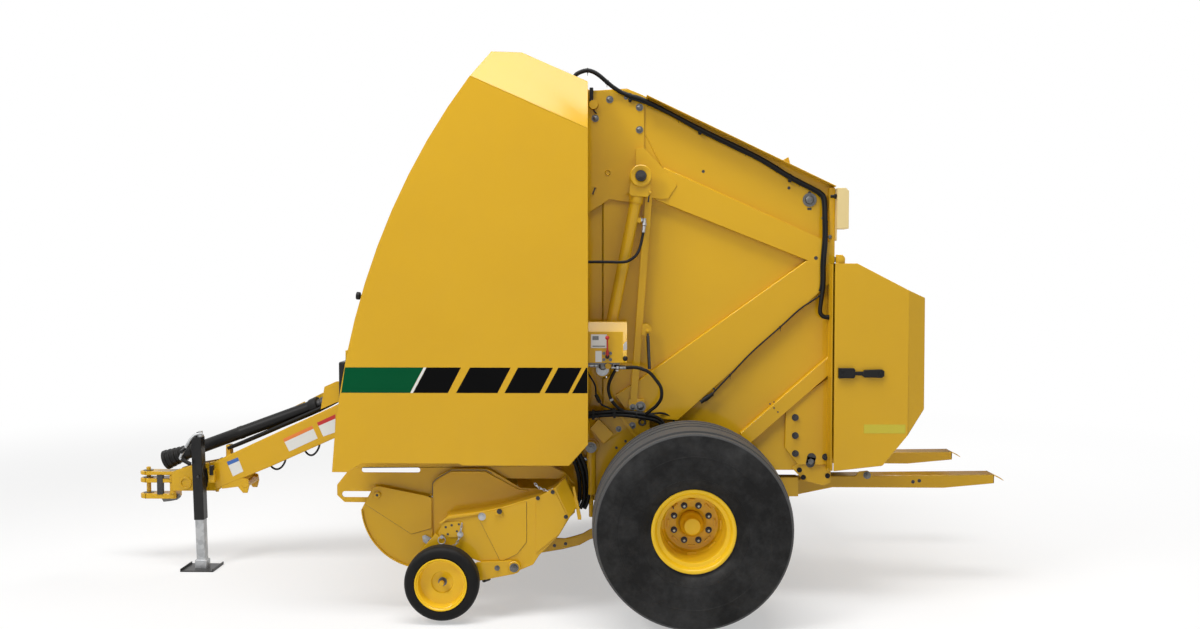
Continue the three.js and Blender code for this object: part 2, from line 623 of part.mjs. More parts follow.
function gaugeArm(seat) {
  const inner = -coverFace - seatGap - 12;
  const arm = prism([[-1475, 385], [-1400, 470], [-1360, 440], [-1290, 300], [-985, 325], [-940, 290],
    [-965, 250], [-1340, 180], [-1400, 200]], inner, inner + 12);
  const pivot = crossRound([-966, 290], 26, inner, -seat - seatGap);
  const stub = crossRound(gaugeHub, 14, -gaugeInnerFace - gaugeWidth + 20, inner + 1);
  return join(arm, pivot, stub);
}

function gaugeTyre() {
  const half = gaugeWidth / 2;
  const middle = -gaugeInnerFace - half;
  return turned([[130, 12 - half], [150, -half], [185, -half], [gaugeRadius, 26 - half],
    [gaugeRadius, half - 26], [185, half], [150, half], [130, half - 12]].map(([radius, along]) => [radius,
    middle + along]),
      gaugeHub, 20);
}

function gaugeRim() {
  const half = gaugeWidth / 2;
  const middle = -gaugeInnerFace - half;
  return turned([[130 - seatGap, 12 - half], [141, -half - 1], [122, -half - 1], [116, 20], [50, 20],
    [50, -20], [14 + pinClearance, -20], [14 + pinClearance, 40], [124, 40], [130 - seatGap, half - 8]]
    .map(([radius, along]) => [radius, middle + along]), gaugeHub, 20);
}

// ---- drawbar jack ----------------------------------------------------------------------------------
function leaning(solid) {
  const turn = THREE.MathUtils.radToDeg(jackLean);
  return solid.translate([-jackX, 0, -320]).rotate([0, turn * -1, 0]).translate([jackX, 0, 320]);
}

function jackOuter() {
  const tube = cut(block([jackX - jackTube / 2, jackX + jackTube / 2],
    [jackY - jackTube / 2, jackY + jackTube / 2], [320, 850]), block([jackX - jackBore / 2,
    jackX + jackBore / 2], [jackY - jackBore / 2, jackY + jackBore / 2], [310, 830]));
  const mount = crossRound([jackX, 560], 30, jackY + jackTube / 2 - 2, -70 - seatGap);
  const screw = roundBetween([jackX + 5, jackY, 848], [jackX + 5, jackY, 880], 12);
  const crank = roundBetween([jackX, jackY, 866], [jackX - 70, jackY, 790], 7, 10);
  const grip = roundBetween([jackX - 68, jackY - 4, 792], [jackX - 68, jackY - 100, 770], 12, 12);
  return leaning(join(tube, mount, screw, crank, grip));
}

function jackFootLeg() {
  const leg = leaning(block([jackX - jackLeg / 2, jackX + jackLeg / 2],
    [jackY - jackLeg / 2, jackY + jackLeg / 2], [30, 560]));
  const foot = block([jackX - 102, jackX + 108], [jackY - 90, jackY + 90], [0, 6]);
  const socket = block([jackX - 32, jackX + 44], [jackY - 32, jackY + 32], [5, 60]);
  return join(leg, foot, socket);
}

// ---- valve box -------------------------------------------------------------------------------------
const valveLow = 1404;

function valveBox() {
  const body = prism([[-700, valveLow], [-700, 1577], [-565, 1600], [-389, 1600], [-352, 1560],
    [-352, valveLow]], -1050, -935);
  const arm = block([-690, -650], [-936, -chamberHalf - wallThickness - seatGap], [1440, 1480]);
  return join(body, arm);
}

// ---- hoses and cables that the machine holds -------------------------------------------------------
// From the lamps' harness clips on the gate wall down to the gland of the net box.
function gateHarness() {
  const cable = hose([[-384, -828, 2920], [-333, -828, 2900], [-232, -828, 2865], [62, -822, 2714],
    [394, -816, 2553], [571, -816, 2446], [696, -818, 2381], [747, -824, 2350], [768, -832, 2311],
    [771, -846, 2200], [771, -852, 2085], [762, -852, 1960], [761, -852, 1836], [749, -852, 1745],
    [743, -852, 1684], [752, -852, 1660], [768, -852, 1650], [780, -852, 1648],
    [793 - seatGap, -852, 1648]], 9, 60);
  const branch = hose([[761, -852, 1800], [731, -852, 1763], [630, -854, 1695], [518, -854, 1592],
    [360, -854, 1450], [236, -854, 1319], [135, -850, 1210]], 4.5, 24);
  const hingeClip = block([-340, -326], [-828, -gateWallOut - 2 * seatGap - 10], [2892, 2908]);
  const wallClips = [[62, 2714], [571, 2446]].map(([x, z]) => block([x - 7, x + 7],
    [-820, -gateWallOut - seatGap], [z - 8, z + 8]));
  return join(cable, branch, hingeClip, ...wallClips);
}

// The slack loop of the same harness between the front shield and the gate.
function harnessLoop() {
  return hose([[-646, -860, 2983.4], [-646, -860, 2998], [-634, -860, 3015], [-606, -860, 3029],
    [-572, -860, 3036], [-536, -860, 3026], [-504, -860, 3006], [-463, -860, 2972], [-430, -860, 2947],
    [-405, -860, 2931]], 9, 16);
}

function cylinderHose() {
  const portHeight = cylinderAlong(cylinderPort)[1];
  return hose([[cylinderPortEnd + seatGap, -880, portHeight], [-264, -880, portHeight],
    [-257, -880, portHeight - 2], [-251, -882, 2184], [-252, -886, 2165], [-258, -892, 2127],
    [-272, -905, 2060], [-294, -925, 2004], [-333, -935, 1971], [-373, -938, 1959], [-467, -940, 1960],
    [-563, -940, 1960], [-641, -940, 1960], [-700, -925, 1955], [-742, -880, 1946], [-752, -835, 1940],
    [-752, -812, 1940], [-752, -chamberHalf - wallThickness - seatGap, 1940]], 8, 32);
}

// Two hoses under the valve box, the pair of supply hoses behind them, and the clamps that hold them all.
function valveHoses() {
  const under = valveLow - seatGap;
  const outer = hose([[-425, -985, under], [-425, -985, 1396], [-425, -985, 1388], [-410, -985, 1374],
    [-350, -985, 1373], [-292, -985, 1372], [-228, -985, 1347], [-188, -980, 1303], [-160, -975, 1258],
    [-158, -965, 1202], [-182, -945, 1158], [-216, -915, 1124], [-245, -893, 1098]], 9.5, 34);
  const inner = hose([[-402, -960, under], [-402, -960, 1394], [-403, -960, 1384], [-410, -959, 1366],
    [-428, -955, 1331], [-448, -945, 1286], [-453, -935, 1241], [-442, -925, 1196], [-422, -915, 1162],
    [-394, -905, 1134], [-358, -897, 1112]], 9, 20);
  const supply = [-10, 10].map((rise) => hose([[-640, -895, 1090 + rise], [-564, -897, 1096 + rise],
    [-445, -897, 1105 + rise], [-362, -897, 1104 + rise], [-275, -897, 1094 + rise],
    [-200, -884, 1078 + rise], [-165, -864, 1058 + rise], [-144, -857, 1036 + rise],
    [-138, -857, 1022 + rise]], 10.5, 18));
  const clamps = [[-540, 1096], [-420, 1104]].map(([x, z]) => block([x - 8, x + 8],
    [-915, -outriggerFace - seatGap], [z - 26, z + 26]));
  return join(outer, inner, ...supply, ...clamps);
}

// ---- assembly --------------------------------------------------------------------------------------
const machine = new THREE.Group();
const add = (name, solid, paint) => machine.add(meshOf(name, solid, paint));
const addPair = (name, solid, paint) => {
  add(`left_${name}`, solid, paint);
  add(`right_${name}`, mirrored(solid), paint);
};

add('tongue', tongue(), 'yellow');
add('hitch_clevis', hitchClevis(), 'yellow');
add('pto_driveline', ptoDriveline(), 'black');
add('gearbox', gearbox(), 'black');
add('jack_tube', jackOuter(), 'black');
add('jack_leg', jackFootLeg(), 'zinc');
add('front_crossmember', frontCrossmember(), 'yellow');
add('top_crossmember', crossTube([-560, 2640], [90, 120], chamberHalf - seatGap), 'yellow');
add('front_shield', frontShield(), 'yellow');
add('axle', axle(), 'yellow');
add('starter_roller', crossRound([-640, 860], 105, -chamberHalf + seatGap, chamberHalf - seatGap, 20),
  'black');
add('front_belts', frontBelts(), 'belt');
add('valve_box', valveBox(), 'yellow');
add('valve_hoses', valveHoses(), 'black');
add('harness_loop', harnessLoop(), 'black');
add('cylinder_hose', cylinderHose(), 'black');
add('gate_harness', gateHarness(), 'black');
addPair('frame_wall', frameWall(), 'yellow');
addPair('sill', sill(), 'yellow');
addPair('skirt', skirt(), 'yellow');
addPair('door', sideDoor(), 'yellow');

add('gate_belts', gateBelts(), 'belt');
add('gate_top_tube', crossTube([790, 2368], [50, 50], gateWallIn - seatGap), 'yellow');
add('gate_bottom_tube', crossTube([785, 810], [70, 70], gateWallIn - seatGap), 'yellow');
add('net_cover', netCover(), 'yellow');
add('net_cover_hinge', coverHingePin(), 'zinc');
addPair('gate_wall', gateWall(), 'yellow');
addPair('gate_bracing', gateBracing(), 'yellow');
addPair('latch_link', latchLink(), 'yellow');
addPair('lamp_box', lampBox(), 'yellow');
addPair('cylinder_barrel', cylinderBarrel(), 'yellow');
addPair('cylinder_rod', cylinderRod(), 'rod');
add('bale_ramp', baleRamp(), 'yellow');

add('pickup_frame', pickupFrame(), 'yellow');
add('pickup_reel', pickupReel(), 'zinc');
add('pickup_drive_cover', pickupDriveCover(), 'yellow');
addPair('pickup_side', pickupSidePlate(), 'yellow');
addPair('pickup_shield', pickupShield(), 'yellow');
add('left_gauge_arm', gaugeArm(coverFace), 'yellow');
add('right_gauge_arm', mirrored(gaugeArm(pickupSide + pickupPlate)), 'yellow');
addPair('gauge_tyre', gaugeTyre(), 'tyre');
addPair('gauge_rim', gaugeRim(), 'yellow');

for (const [name, side] of [['left', -1], ['right', 1]]) {
  const wheel = new THREE.Group();
  wheel.position.y = side * wheelCentre;
  const tyreSolid = side < 0 ? tyre() : mirrored(tyre());
  const rimSolid = side < 0 ? mirrored(rim()) : rim();
  wheel.add(meshOf(`${name}_tyre`, tyreSolid, 'tyre'), meshOf(`${name}_rim`, rimSolid, 'yellow'));
  machine.add(wheel);
}

const baler = new THREE.Group();
machine.position.x = (hitchReach - rearReach) / 2;
baler.add(machine);

export default baler;
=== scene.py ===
import json
from math import cos, pi, radians, sin

import bmesh
import bpy
from mathutils import Matrix, Vector


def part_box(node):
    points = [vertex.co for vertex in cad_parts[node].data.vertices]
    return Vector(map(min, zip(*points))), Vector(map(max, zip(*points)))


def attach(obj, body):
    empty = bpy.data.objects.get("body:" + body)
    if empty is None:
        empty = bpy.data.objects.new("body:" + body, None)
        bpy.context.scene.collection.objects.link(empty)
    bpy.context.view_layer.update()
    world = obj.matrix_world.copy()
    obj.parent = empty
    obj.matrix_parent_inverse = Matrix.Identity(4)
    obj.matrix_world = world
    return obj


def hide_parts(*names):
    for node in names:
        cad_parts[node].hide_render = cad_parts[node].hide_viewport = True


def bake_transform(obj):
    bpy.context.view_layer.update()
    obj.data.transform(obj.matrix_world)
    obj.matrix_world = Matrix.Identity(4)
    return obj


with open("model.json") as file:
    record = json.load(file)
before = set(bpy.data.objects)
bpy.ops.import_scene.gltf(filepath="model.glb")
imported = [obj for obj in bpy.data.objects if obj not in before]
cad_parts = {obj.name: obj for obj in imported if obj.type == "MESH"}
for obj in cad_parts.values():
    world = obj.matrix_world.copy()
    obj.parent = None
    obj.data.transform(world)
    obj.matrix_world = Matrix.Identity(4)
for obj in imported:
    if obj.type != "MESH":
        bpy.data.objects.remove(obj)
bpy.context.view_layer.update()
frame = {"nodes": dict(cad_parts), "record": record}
sides = (("left", -1), ("right", 1))

tyreLow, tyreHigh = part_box("left_tyre")
axleMiddle = (tyreLow + tyreHigh) / 2


def spot(x, y, z):
    # millimetres behind, right of and above the middle of the axle on the ground
    return Vector((axleMiddle.x + x / 1000, y / 1000, z / 1000))


def sidePoint(side, x, z, y):
    return spot(x, side * y, z)


def flat(points):
    # an outline in the same millimetres, as a plate's (x, z) in metres
    return [(spot(x, 0, z).x, z / 1000) for x, z in points]


def rectangle(left, low, right, high):
    return [(left, low), (right, low), (right, high), (left, high)]


# camera, floor and light
view = {"place": (0.4151, -6.85, 1.9038), "pitch": 87.6975, "turn": 1.084, "lens": 31.71}
cameraData = bpy.data.cameras.new("camera")
cameraData.lens = view["lens"]
cameraData.sensor_width = 36
camera = bpy.data.objects.new("camera", cameraData)
camera.location = view["place"]
camera.rotation_euler = (radians(view["pitch"]), 0, radians(view["turn"]))
bpy.context.collection.objects.link(camera)
bpy.context.scene.camera = camera
bpy.context.scene.view_settings.view_transform = "Standard"
print("camera set")


# building shapes
def feed(tree, node, values):
    # each input gets a value, or a link from another node's output
    for key, value in values.items():
        if isinstance(value, bpy.types.NodeSocket):
            tree.links.new(value, node.inputs[key])
        else:
            node.inputs[key].default_value = value


def put(tree, kind, values=None, **settings):
    made = tree.nodes.new("ShaderNode" + kind)
    for key, value in settings.items():
        setattr(made, key, value)
    feed(tree, made, values or {})
    return made


def mixColour(tree, factor, first, second):
    return put(tree, "Mix", {0: factor, 6: first, 7: second}, data_type="RGBA").outputs[2]


def nodeGroup(name, inputs, outputs):
    group = bpy.data.node_groups.new(name, "ShaderNodeTree")
    for label, kind, value in inputs:
        group.interface.new_socket(label, in_out="INPUT", socket_type=kind).default_value = value
    for label, kind in outputs:
        group.interface.new_socket(label, in_out="OUTPUT", socket_type=kind)
    return group, group.nodes.new("NodeGroupInput"), group.nodes.new("NodeGroupOutput")


creaseAngle = 32      # degrees, past which an edge stays sharp or gets softened


def finishPiece(name, bm, material, body, smooth=creaseAngle, bevel=0):
    mesh = bpy.data.meshes.new(name)
    bm.to_mesh(mesh)
    bm.free()
    mesh.materials.append(material)
    mesh.shade_smooth()
    mesh.set_sharp_from_angle(angle=radians(smooth))
    piece = bpy.data.objects.new(name, mesh)
    bpy.context.collection.objects.link(piece)
    if bevel:
        softenEdges(piece, bevel)
    if body:      # a cord that bends between two bodies has none of its own
        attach(piece, body)
    return piece


def softenEdges(piece, width):
    edge = piece.modifiers.new("softEdges", "BEVEL")
    edge.width = width
    edge.segments = 2
    edge.limit_method = "ANGLE"
    edge.angle_limit = radians(creaseAngle)
    edge.harden_normals = True
    edge.use_clamp_overlap = False
    edge.miter_outer = "MITER_ARC"


def addBlock(bm, low, high, turn=None):
    low, high = Vector(low), Vector(high)
    size = high - low
    place = Matrix.Translation((low + high) / 2) @ (turn or Matrix.Identity(4))
    return bmesh.ops.create_cube(bm, size=1, matrix=place @ Matrix.Diagonal((*size, 1)))["verts"]


def addRod(bm, start, end, radius, segments=16, farRadius=None):
    start, end = Vector(start), Vector(end)
    run = end - start
    turn = run.to_track_quat("Z", "Y").to_matrix().to_4x4()
    return bmesh.ops.create_cone(
        bm, cap_ends=True, segments=segments, radius1=radius,
        radius2=radius if farRadius is None else farRadius,
        depth=run.length, matrix=Matrix.Translation((start + end) / 2) @ turn)["verts"]


def unique(items):
    # each one once, in the order in which they come
    return list(dict.fromkeys(items))


def addPlate(bm, outline, near, far):
    # a flat outline of (x, z) points, from one plane across the machine to another
    corners = [bm.verts.new((point[0], near, point[1])) for point in outline]
    face = bm.faces.new(corners)
    swept = bmesh.ops.extrude_face_region(bm, geom=[face])["geom"]
    moved = [item for item in swept if isinstance(item, bmesh.types.BMVert)]
    bmesh.ops.translate(bm, verts=moved, vec=(0, far - near, 0))
    bmesh.ops.recalc_face_normals(bm, faces=unique(f for vert in corners + moved for f in vert.link_faces))
    return corners + moved


def addSidePlate(bm, points, side, near, far):
    # an outline on one side of the machine, between two distances from its middle plane
    addPlate(bm, flat(points), side * near / 1000, side * far / 1000)


def addTurned(bm, profile, centre, axis=(0, 1, 0), steps=48, closed=True):
    # profile: (radius, along) points round an axis across the machine
    points = [bm.verts.new(Vector(centre) + Vector((radius, along, 0))) for radius, along in profile]
    pairs = list(zip(points, points[1:] + points[:1])) if closed else list(zip(points, points[1:]))
    edges = [bm.edges.new(pair) for pair in pairs]
    before = set(bm.verts) - set(points)
    bmesh.ops.spin(bm, geom=points + edges, cent=centre, axis=axis, angle=2 * pi, steps=steps, use_merge=True)
    fresh = [vert for vert in bm.verts if vert not in before]
    bmesh.ops.remove_doubles(bm, verts=fresh, dist=1e-6)
    fresh = [vert for vert in bm.verts if vert not in before]
    bmesh.ops.recalc_face_normals(bm, faces=unique(f for vert in fresh for f in vert.link_faces))
    return fresh


def addBolt(bm, head, outward, size, washer=True):
    # size is the distance across the hexagon's flats
    head, outward = Vector(head), Vector(outward).normalized()
    if washer:
        addRod(bm, head, head + outward * size * 0.14, size * 0.82, 20)
    start = head + outward * size * 0.13
    addRod(bm, start, start + outward * size * 0.5, size * 0.577, 6)
    addRod(bm, start + outward * size * 0.45, start + outward * size * 0.8, size * 0.3, 12)


def smoothLine(points, steps=6):
    # points along one smooth curve through the given ones
    made, last = [], len(points) - 1
    for i in range(last):
        before, start, end, after = (Vector(points[max(0, min(last, i + k))]) for k in (-1, 0, 1, 2))
        for k in range(steps):
            t = k / steps
            bend = (2 * before - 5 * start + 4 * end - after) * t ** 2
            twist = (3 * start - before - 3 * end + after) * t ** 3
            made.append(0.5 * (2 * start + (end - before) * t + bend + twist))
    return made + [Vector(points[-1])]


def addHose(bm, points, radius, sides=14, steps=6):
    # a tube swept along one smooth curve; points are (x, y, z) millimetres from the axle's middle
    route = smoothLine([spot(*point) for point in points], steps)
    ring = None
    for i, place in enumerate(route):
        along = (route[min(i + 1, len(route) - 1)] - route[max(i - 1, 0)]).normalized()
        if ring:
            turn = (turn @ Vector((0, 0, 1))).rotation_difference(along) @ turn
        else:
            turn = along.to_track_quat("Z", "Y")
        matrix = Matrix.Translation(place) @ turn.to_matrix().to_4x4()
        verts = bmesh.ops.create_circle(bm, cap_ends=False, segments=sides, radius=radius,
                                        matrix=matrix)["verts"]
        edges = unique(edge for vert in verts for edge in vert.link_edges)
        if ring:
            bmesh.ops.bridge_loops(bm, edges=ring + edges)
        else:
            bmesh.ops.contextual_create(bm, geom=verts)
        ring = edges
    bmesh.ops.contextual_create(bm, geom=unique(vert for edge in ring for vert in edge.verts))
    bmesh.ops.recalc_face_normals(bm, faces=bm.faces)


# shared finishes
def buildDust():
    group, start, end = nodeGroup(
        "fieldDust",
        [("Color", "NodeSocketColor", (1, 1, 1, 1)), ("Dust", "NodeSocketColor", (0.32, 0.27, 0.2, 1)),
         ("Amount", "NodeSocketFloat", 0.2), ("Scale", "NodeSocketFloat", 6)],
        [("Color", "NodeSocketColor"), ("Mask", "NodeSocketFloat")])
    place = put(group, "TexCoord").outputs["Object"]
    cloud = put(group, "TexNoise", {"Vector": place, "Scale": start.outputs["Scale"], "Detail": 5,
                                    "Roughness": 0.6})
    patches = put(group, "MapRange", {"Value": cloud.outputs[0], "From Min": 0.38, "From Max": 0.72})
    normal = put(group, "SeparateXYZ", {0: put(group, "NewGeometry").outputs["Normal"]})
    upward = put(group, "MapRange", {"Value": normal.outputs["Z"], "From Min": 0.1, "From Max": 1.0,
                                     "To Min": 0.25})
    height = put(group, "SeparateXYZ", {0: place})
    low = put(group, "MapRange", {"Value": height.outputs["Z"], "From Min": 1.2, "From Max": 0.0,
                                  "To Min": 0.35})
    share = put(group, "Math", {0: upward.outputs[0], 1: low.outputs[0]}, operation="MULTIPLY")
    share = put(group, "Math", {0: share.outputs[0], 1: patches.outputs[0]}, operation="MULTIPLY")
    mask = put(group, "Math", {0: share.outputs[0], 1: start.outputs["Amount"]}, operation="MULTIPLY",
               use_clamp=True)
    colour = mixColour(group, mask.outputs[0], start.outputs["Color"], start.outputs["Dust"])
    feed(group, end, {"Color": colour, "Mask": mask.outputs[0]})
    return group


def buildGrain():
    group, start, end = nodeGroup(
        "surfaceGrain", [("Scale", "NodeSocketFloat", 300), ("Roughness", "NodeSocketFloat", 0.4),
                         ("Spread", "NodeSocketFloat", 0.1)],
        [("Height", "NodeSocketFloat"), ("Roughness", "NodeSocketFloat")])
    place = put(group, "TexCoord").outputs["Object"]
    fine = put(group, "TexNoise", {"Vector": place, "Scale": start.outputs["Scale"], "Detail": 3})
    wide = put(group, "TexNoise", {"Vector": place, "Scale": 4, "Detail": 4})
    centred = put(group, "Math", {0: wide.outputs[0], 1: 0.5}, operation="SUBTRACT")
    drift = put(group, "Math", {0: centred.outputs[0], 1: start.outputs["Spread"]}, operation="MULTIPLY")
    total = put(group, "Math", {0: drift.outputs[0], 1: start.outputs["Roughness"]}, operation="ADD")
    feed(group, end, {"Height": fine.outputs[0], "Roughness": total.outputs[0]})
    return group


# painted edge highlight: edges are lightened, in patches, towards a lighter colour
def buildPaintedEdgeLight():
    group, start, end = nodeGroup(
        "paintedEdgeLight", [("Radius", "NodeSocketFloat", 0.003), ("Amount", "NodeSocketFloat", 0.5)],
        [("Mask", "NodeSocketFloat")])
    rounded = put(group, "Bevel", {"Radius": start.outputs["Radius"]}, samples=4)
    facing = put(group, "NewGeometry").outputs["Normal"]
    match = put(group, "VectorMath", {0: rounded.outputs[0], 1: facing}, operation="DOT_PRODUCT")
    edge = put(group, "MapRange", {"Value": match.outputs["Value"], "From Min": 0.985, "From Max": 0.86})
    place = put(group, "TexCoord").outputs["Object"]
    breakUp = put(group, "TexNoise", {"Vector": place, "Scale": 38, "Detail": 4})
    patches = put(group, "MapRange", {"Value": breakUp.outputs[0], "From Min": 0.46, "From Max": 0.6})
    lighter = put(group, "Math", {0: edge.outputs[0], 1: patches.outputs[0]}, operation="MULTIPLY")
    mask = put(group, "Math", {0: lighter.outputs[0], 1: start.outputs["Amount"]}, operation="MULTIPLY",
               use_clamp=True)
    feed(group, end, {"Mask": mask.outputs[0]})
    return group


fieldDust, surfaceGrain, paintedEdgeLight = buildDust(), buildGrain(), buildPaintedEdgeLight()


def newMaterial(name):
    material = bpy.data.materials.new(name)
    material.use_nodes = True
    return material, material.node_tree, material.node_tree.nodes["Principled BSDF"]


def paint(name, look):
    material, tree, shader = newMaterial(name)
    place = put(tree, "TexCoord").outputs["Object"]
    cloud = put(tree, "TexNoise", {"Vector": place, "Scale": 1.7, "Detail": 3})
    colour = mixColour(tree, cloud.outputs[0], (*look["colour"], 1), (*look["second"], 1))
    # painted edge highlight: the paint turns lighter along its edges here
    lighter = put(tree, "Group", {"Radius": 0.002, "Amount": look["edgeLight"]}, node_tree=paintedEdgeLight)
    colour = mixColour(tree, lighter.outputs["Mask"], colour, (*look["bare"], 1))
    dust = put(tree, "Group", {"Color": colour, "Amount": look["dust"], "Scale": 7}, node_tree=fieldDust)
    grain = put(tree, "Group", {"Scale": look["peel"], "Roughness": look["roughness"], "Spread": 0.12},
                node_tree=surfaceGrain)
    rough = put(tree, "Math", {0: dust.outputs["Mask"], 1: 0.5, 2: grain.outputs["Roughness"]},
                operation="MULTIPLY_ADD", use_clamp=True)
    bump = put(tree, "Bump", {"Height": grain.outputs["Height"], "Strength": look["bump"],
                              "Distance": 0.0006})
    feed(tree, shader, {"Base Color": dust.outputs["Color"], "Roughness": rough.outputs[0],
                        "Normal": bump.outputs[0], "Coat Weight": look["coat"], "Coat Roughness": 0.12,
                        "Specular IOR Level": look.get("specular", 0.4)})
    return material


# in each look, the edge amount and the edge colour set its painted edge highlight
yellowPaint = paint("yellowPaint", {
    "colour": (0.66, 0.38, 0.009), "second": (0.615, 0.345, 0.008), "bare": (0.75, 0.5, 0.06), "edgeLight": 0.25,
    "dust": 0.1, "peel": 260, "bump": 0.12, "roughness": 0.4, "coat": 0.62, "specular": 0.0})
wheelYellow = paint("wheelYellow", {
    "colour": (0.85, 0.53, 0.014), "second": (0.8, 0.49, 0.012), "bare": (0.8, 0.55, 0.06), "edgeLight": 0.2,
    "dust": 0.08, "peel": 300, "bump": 0.12, "roughness": 0.3, "coat": 0.6, "specular": 0.0})
# a lit copy of the yellow paint, for the lamp housing: painted light
paintedLitYellow = paint("paintedLitYellow", {
    "colour": (0.78, 0.62, 0.3), "second": (0.74, 0.58, 0.27), "bare": (0.8, 0.65, 0.35), "edgeLight": 0.1,
    "dust": 0.05, "peel": 260, "bump": 0.1, "roughness": 0.4, "coat": 0.4, "specular": 0.0})
blackPaint = paint("blackPaint", {
    "colour": (0.008, 0.008, 0.0085), "second": (0.013, 0.013, 0.0135), "bare": (0.12, 0.12, 0.12),
    "edgeLight": 0.5,
    "dust": 0.08, "peel": 340, "bump": 0.15, "roughness": 0.34, "coat": 0.1, "specular": 0.2})
stripeBlack = paint("stripeBlack", {
    "colour": (0.0016, 0.0016, 0.0018), "second": (0.0024, 0.0024, 0.0026), "bare": (0.05, 0.05, 0.05),
    "edgeLight": 0,
    "dust": 0.01, "peel": 200, "bump": 0.02, "roughness": 0.3, "coat": 0, "specular": 0.05})
stripeGreen = paint("stripeGreen", {
    "colour": (0.0, 0.085, 0.028), "second": (0.0, 0.065, 0.022), "bare": (0.05, 0.2, 0.12), "edgeLight": 0,
    "dust": 0.02, "peel": 200, "bump": 0.02, "roughness": 0.3, "coat": 0, "specular": 0.06})
printed = {"edgeLight": 0, "dust": 0.2, "peel": 200, "bump": 0.02, "roughness": 0.35, "coat": 0.3}
labelWhite = paint("labelWhite", {
    **printed, "colour": (0.74, 0.74, 0.7), "second": (0.68, 0.68, 0.65), "bare": (0.6, 0.6, 0.55),
    "dust": 0.25})
labelBlue = paint("labelBlue", {
    **printed, "colour": (0.03, 0.13, 0.42), "second": (0.03, 0.11, 0.38), "bare": (0.1, 0.2, 0.5)})
labelOrange = paint("labelOrange", {
    **printed, "colour": (0.75, 0.2, 0.02), "second": (0.7, 0.18, 0.02), "bare": (0.7, 0.3, 0.1)})
redPlastic = paint("redPlastic", {
    "colour": (0.5, 0.012, 0.01), "second": (0.45, 0.01, 0.01), "bare": (0.5, 0.1, 0.1), "edgeLight": 0.1,
    "dust": 0.2, "peel": 350, "bump": 0.1, "roughness": 0.35, "coat": 0.2})
blackPlastic = paint("blackPlastic", {
    "colour": (0.007, 0.007, 0.0075), "second": (0.011, 0.011, 0.011), "bare": (0.05, 0.05, 0.05),
    "edgeLight": 0.2,
    "dust": 0.06, "peel": 700, "bump": 0.3, "roughness": 0.42, "coat": 0, "specular": 0.2})
hoseRubber = paint("hoseRubber", {
    "colour": (0.005, 0.005, 0.0055), "second": (0.008, 0.008, 0.008), "bare": (0.04, 0.04, 0.04), "edgeLight": 0,
    "dust": 0.05, "peel": 900, "bump": 0.25, "roughness": 0.42, "coat": 0, "specular": 0.2})
beltRubber = paint("beltRubber", {
    "colour": (0.018, 0.018, 0.018), "second": (0.03, 0.029, 0.028), "bare": (0.05, 0.05, 0.05), "edgeLight": 0,
    "dust": 0.5, "peel": 160, "bump": 0.6, "roughness": 0.62, "coat": 0})


def steel(name, look):
    material, tree, shader = newMaterial(name)
    place = put(tree, "TexCoord").outputs["Object"]
    spangle = put(tree, "TexVoronoi", {"Vector": place, "Scale": look["spangle"]})
    tone = put(tree, "SeparateColor", {0: spangle.outputs["Color"]})
    colour = mixColour(tree, tone.outputs[0], (*look["colour"], 1), (*look["second"], 1))
    dust = put(tree, "Group", {"Color": colour, "Amount": look["dust"], "Scale": 9}, node_tree=fieldDust)
    grain = put(tree, "Group", {"Scale": 500, "Roughness": look["roughness"], "Spread": 0.2},
                node_tree=surfaceGrain)
    bump = put(tree, "Bump", {"Height": grain.outputs["Height"], "Strength": 0.15, "Distance": 0.0004})
    feed(tree, shader, {"Base Color": dust.outputs["Color"], "Roughness": grain.outputs["Roughness"],
                        "Normal": bump.outputs[0], "Metallic": look["metal"]})
    return material


zincSteel = steel("zincSteel", {"colour": (0.5, 0.51, 0.52), "second": (0.36, 0.37, 0.38), "spangle": 38,
                                "dust": 0.3, "roughness": 0.4, "metal": 0.85})
greyBolt = steel("greyBolt", {"colour": (0.17, 0.17, 0.165), "second": (0.11, 0.11, 0.11), "spangle": 240,
                              "dust": 0.2, "roughness": 0.34, "metal": 0.85})
boltZinc = steel("boltZinc", {"colour": (0.42, 0.4, 0.32), "second": (0.34, 0.33, 0.28), "spangle": 300,
                              "dust": 0.2, "roughness": 0.36, "metal": 0.9})
chromedRod = steel("chromedRod", {"colour": (0.66, 0.67, 0.69), "second": (0.62, 0.63, 0.65), "spangle": 20,
                                  "dust": 0.1, "roughness": 0.12, "metal": 1})
darkSteel = steel("darkSteel", {"colour": (0.06, 0.06, 0.062), "second": (0.04, 0.04, 0.042), "spangle": 200,
                                "dust": 0.3, "roughness": 0.5, "metal": 0.7})
print("finishes ready")


# floor and soft light
def seenRays(tree):
    # 1 for what the camera sees directly or in a reflection
    rays = put(tree, "LightPath")
    return put(tree, "Math", {0: rays.outputs["Is Camera Ray"], 1: rays.outputs["Is Glossy Ray"]},
               operation="MAXIMUM").outputs[0]


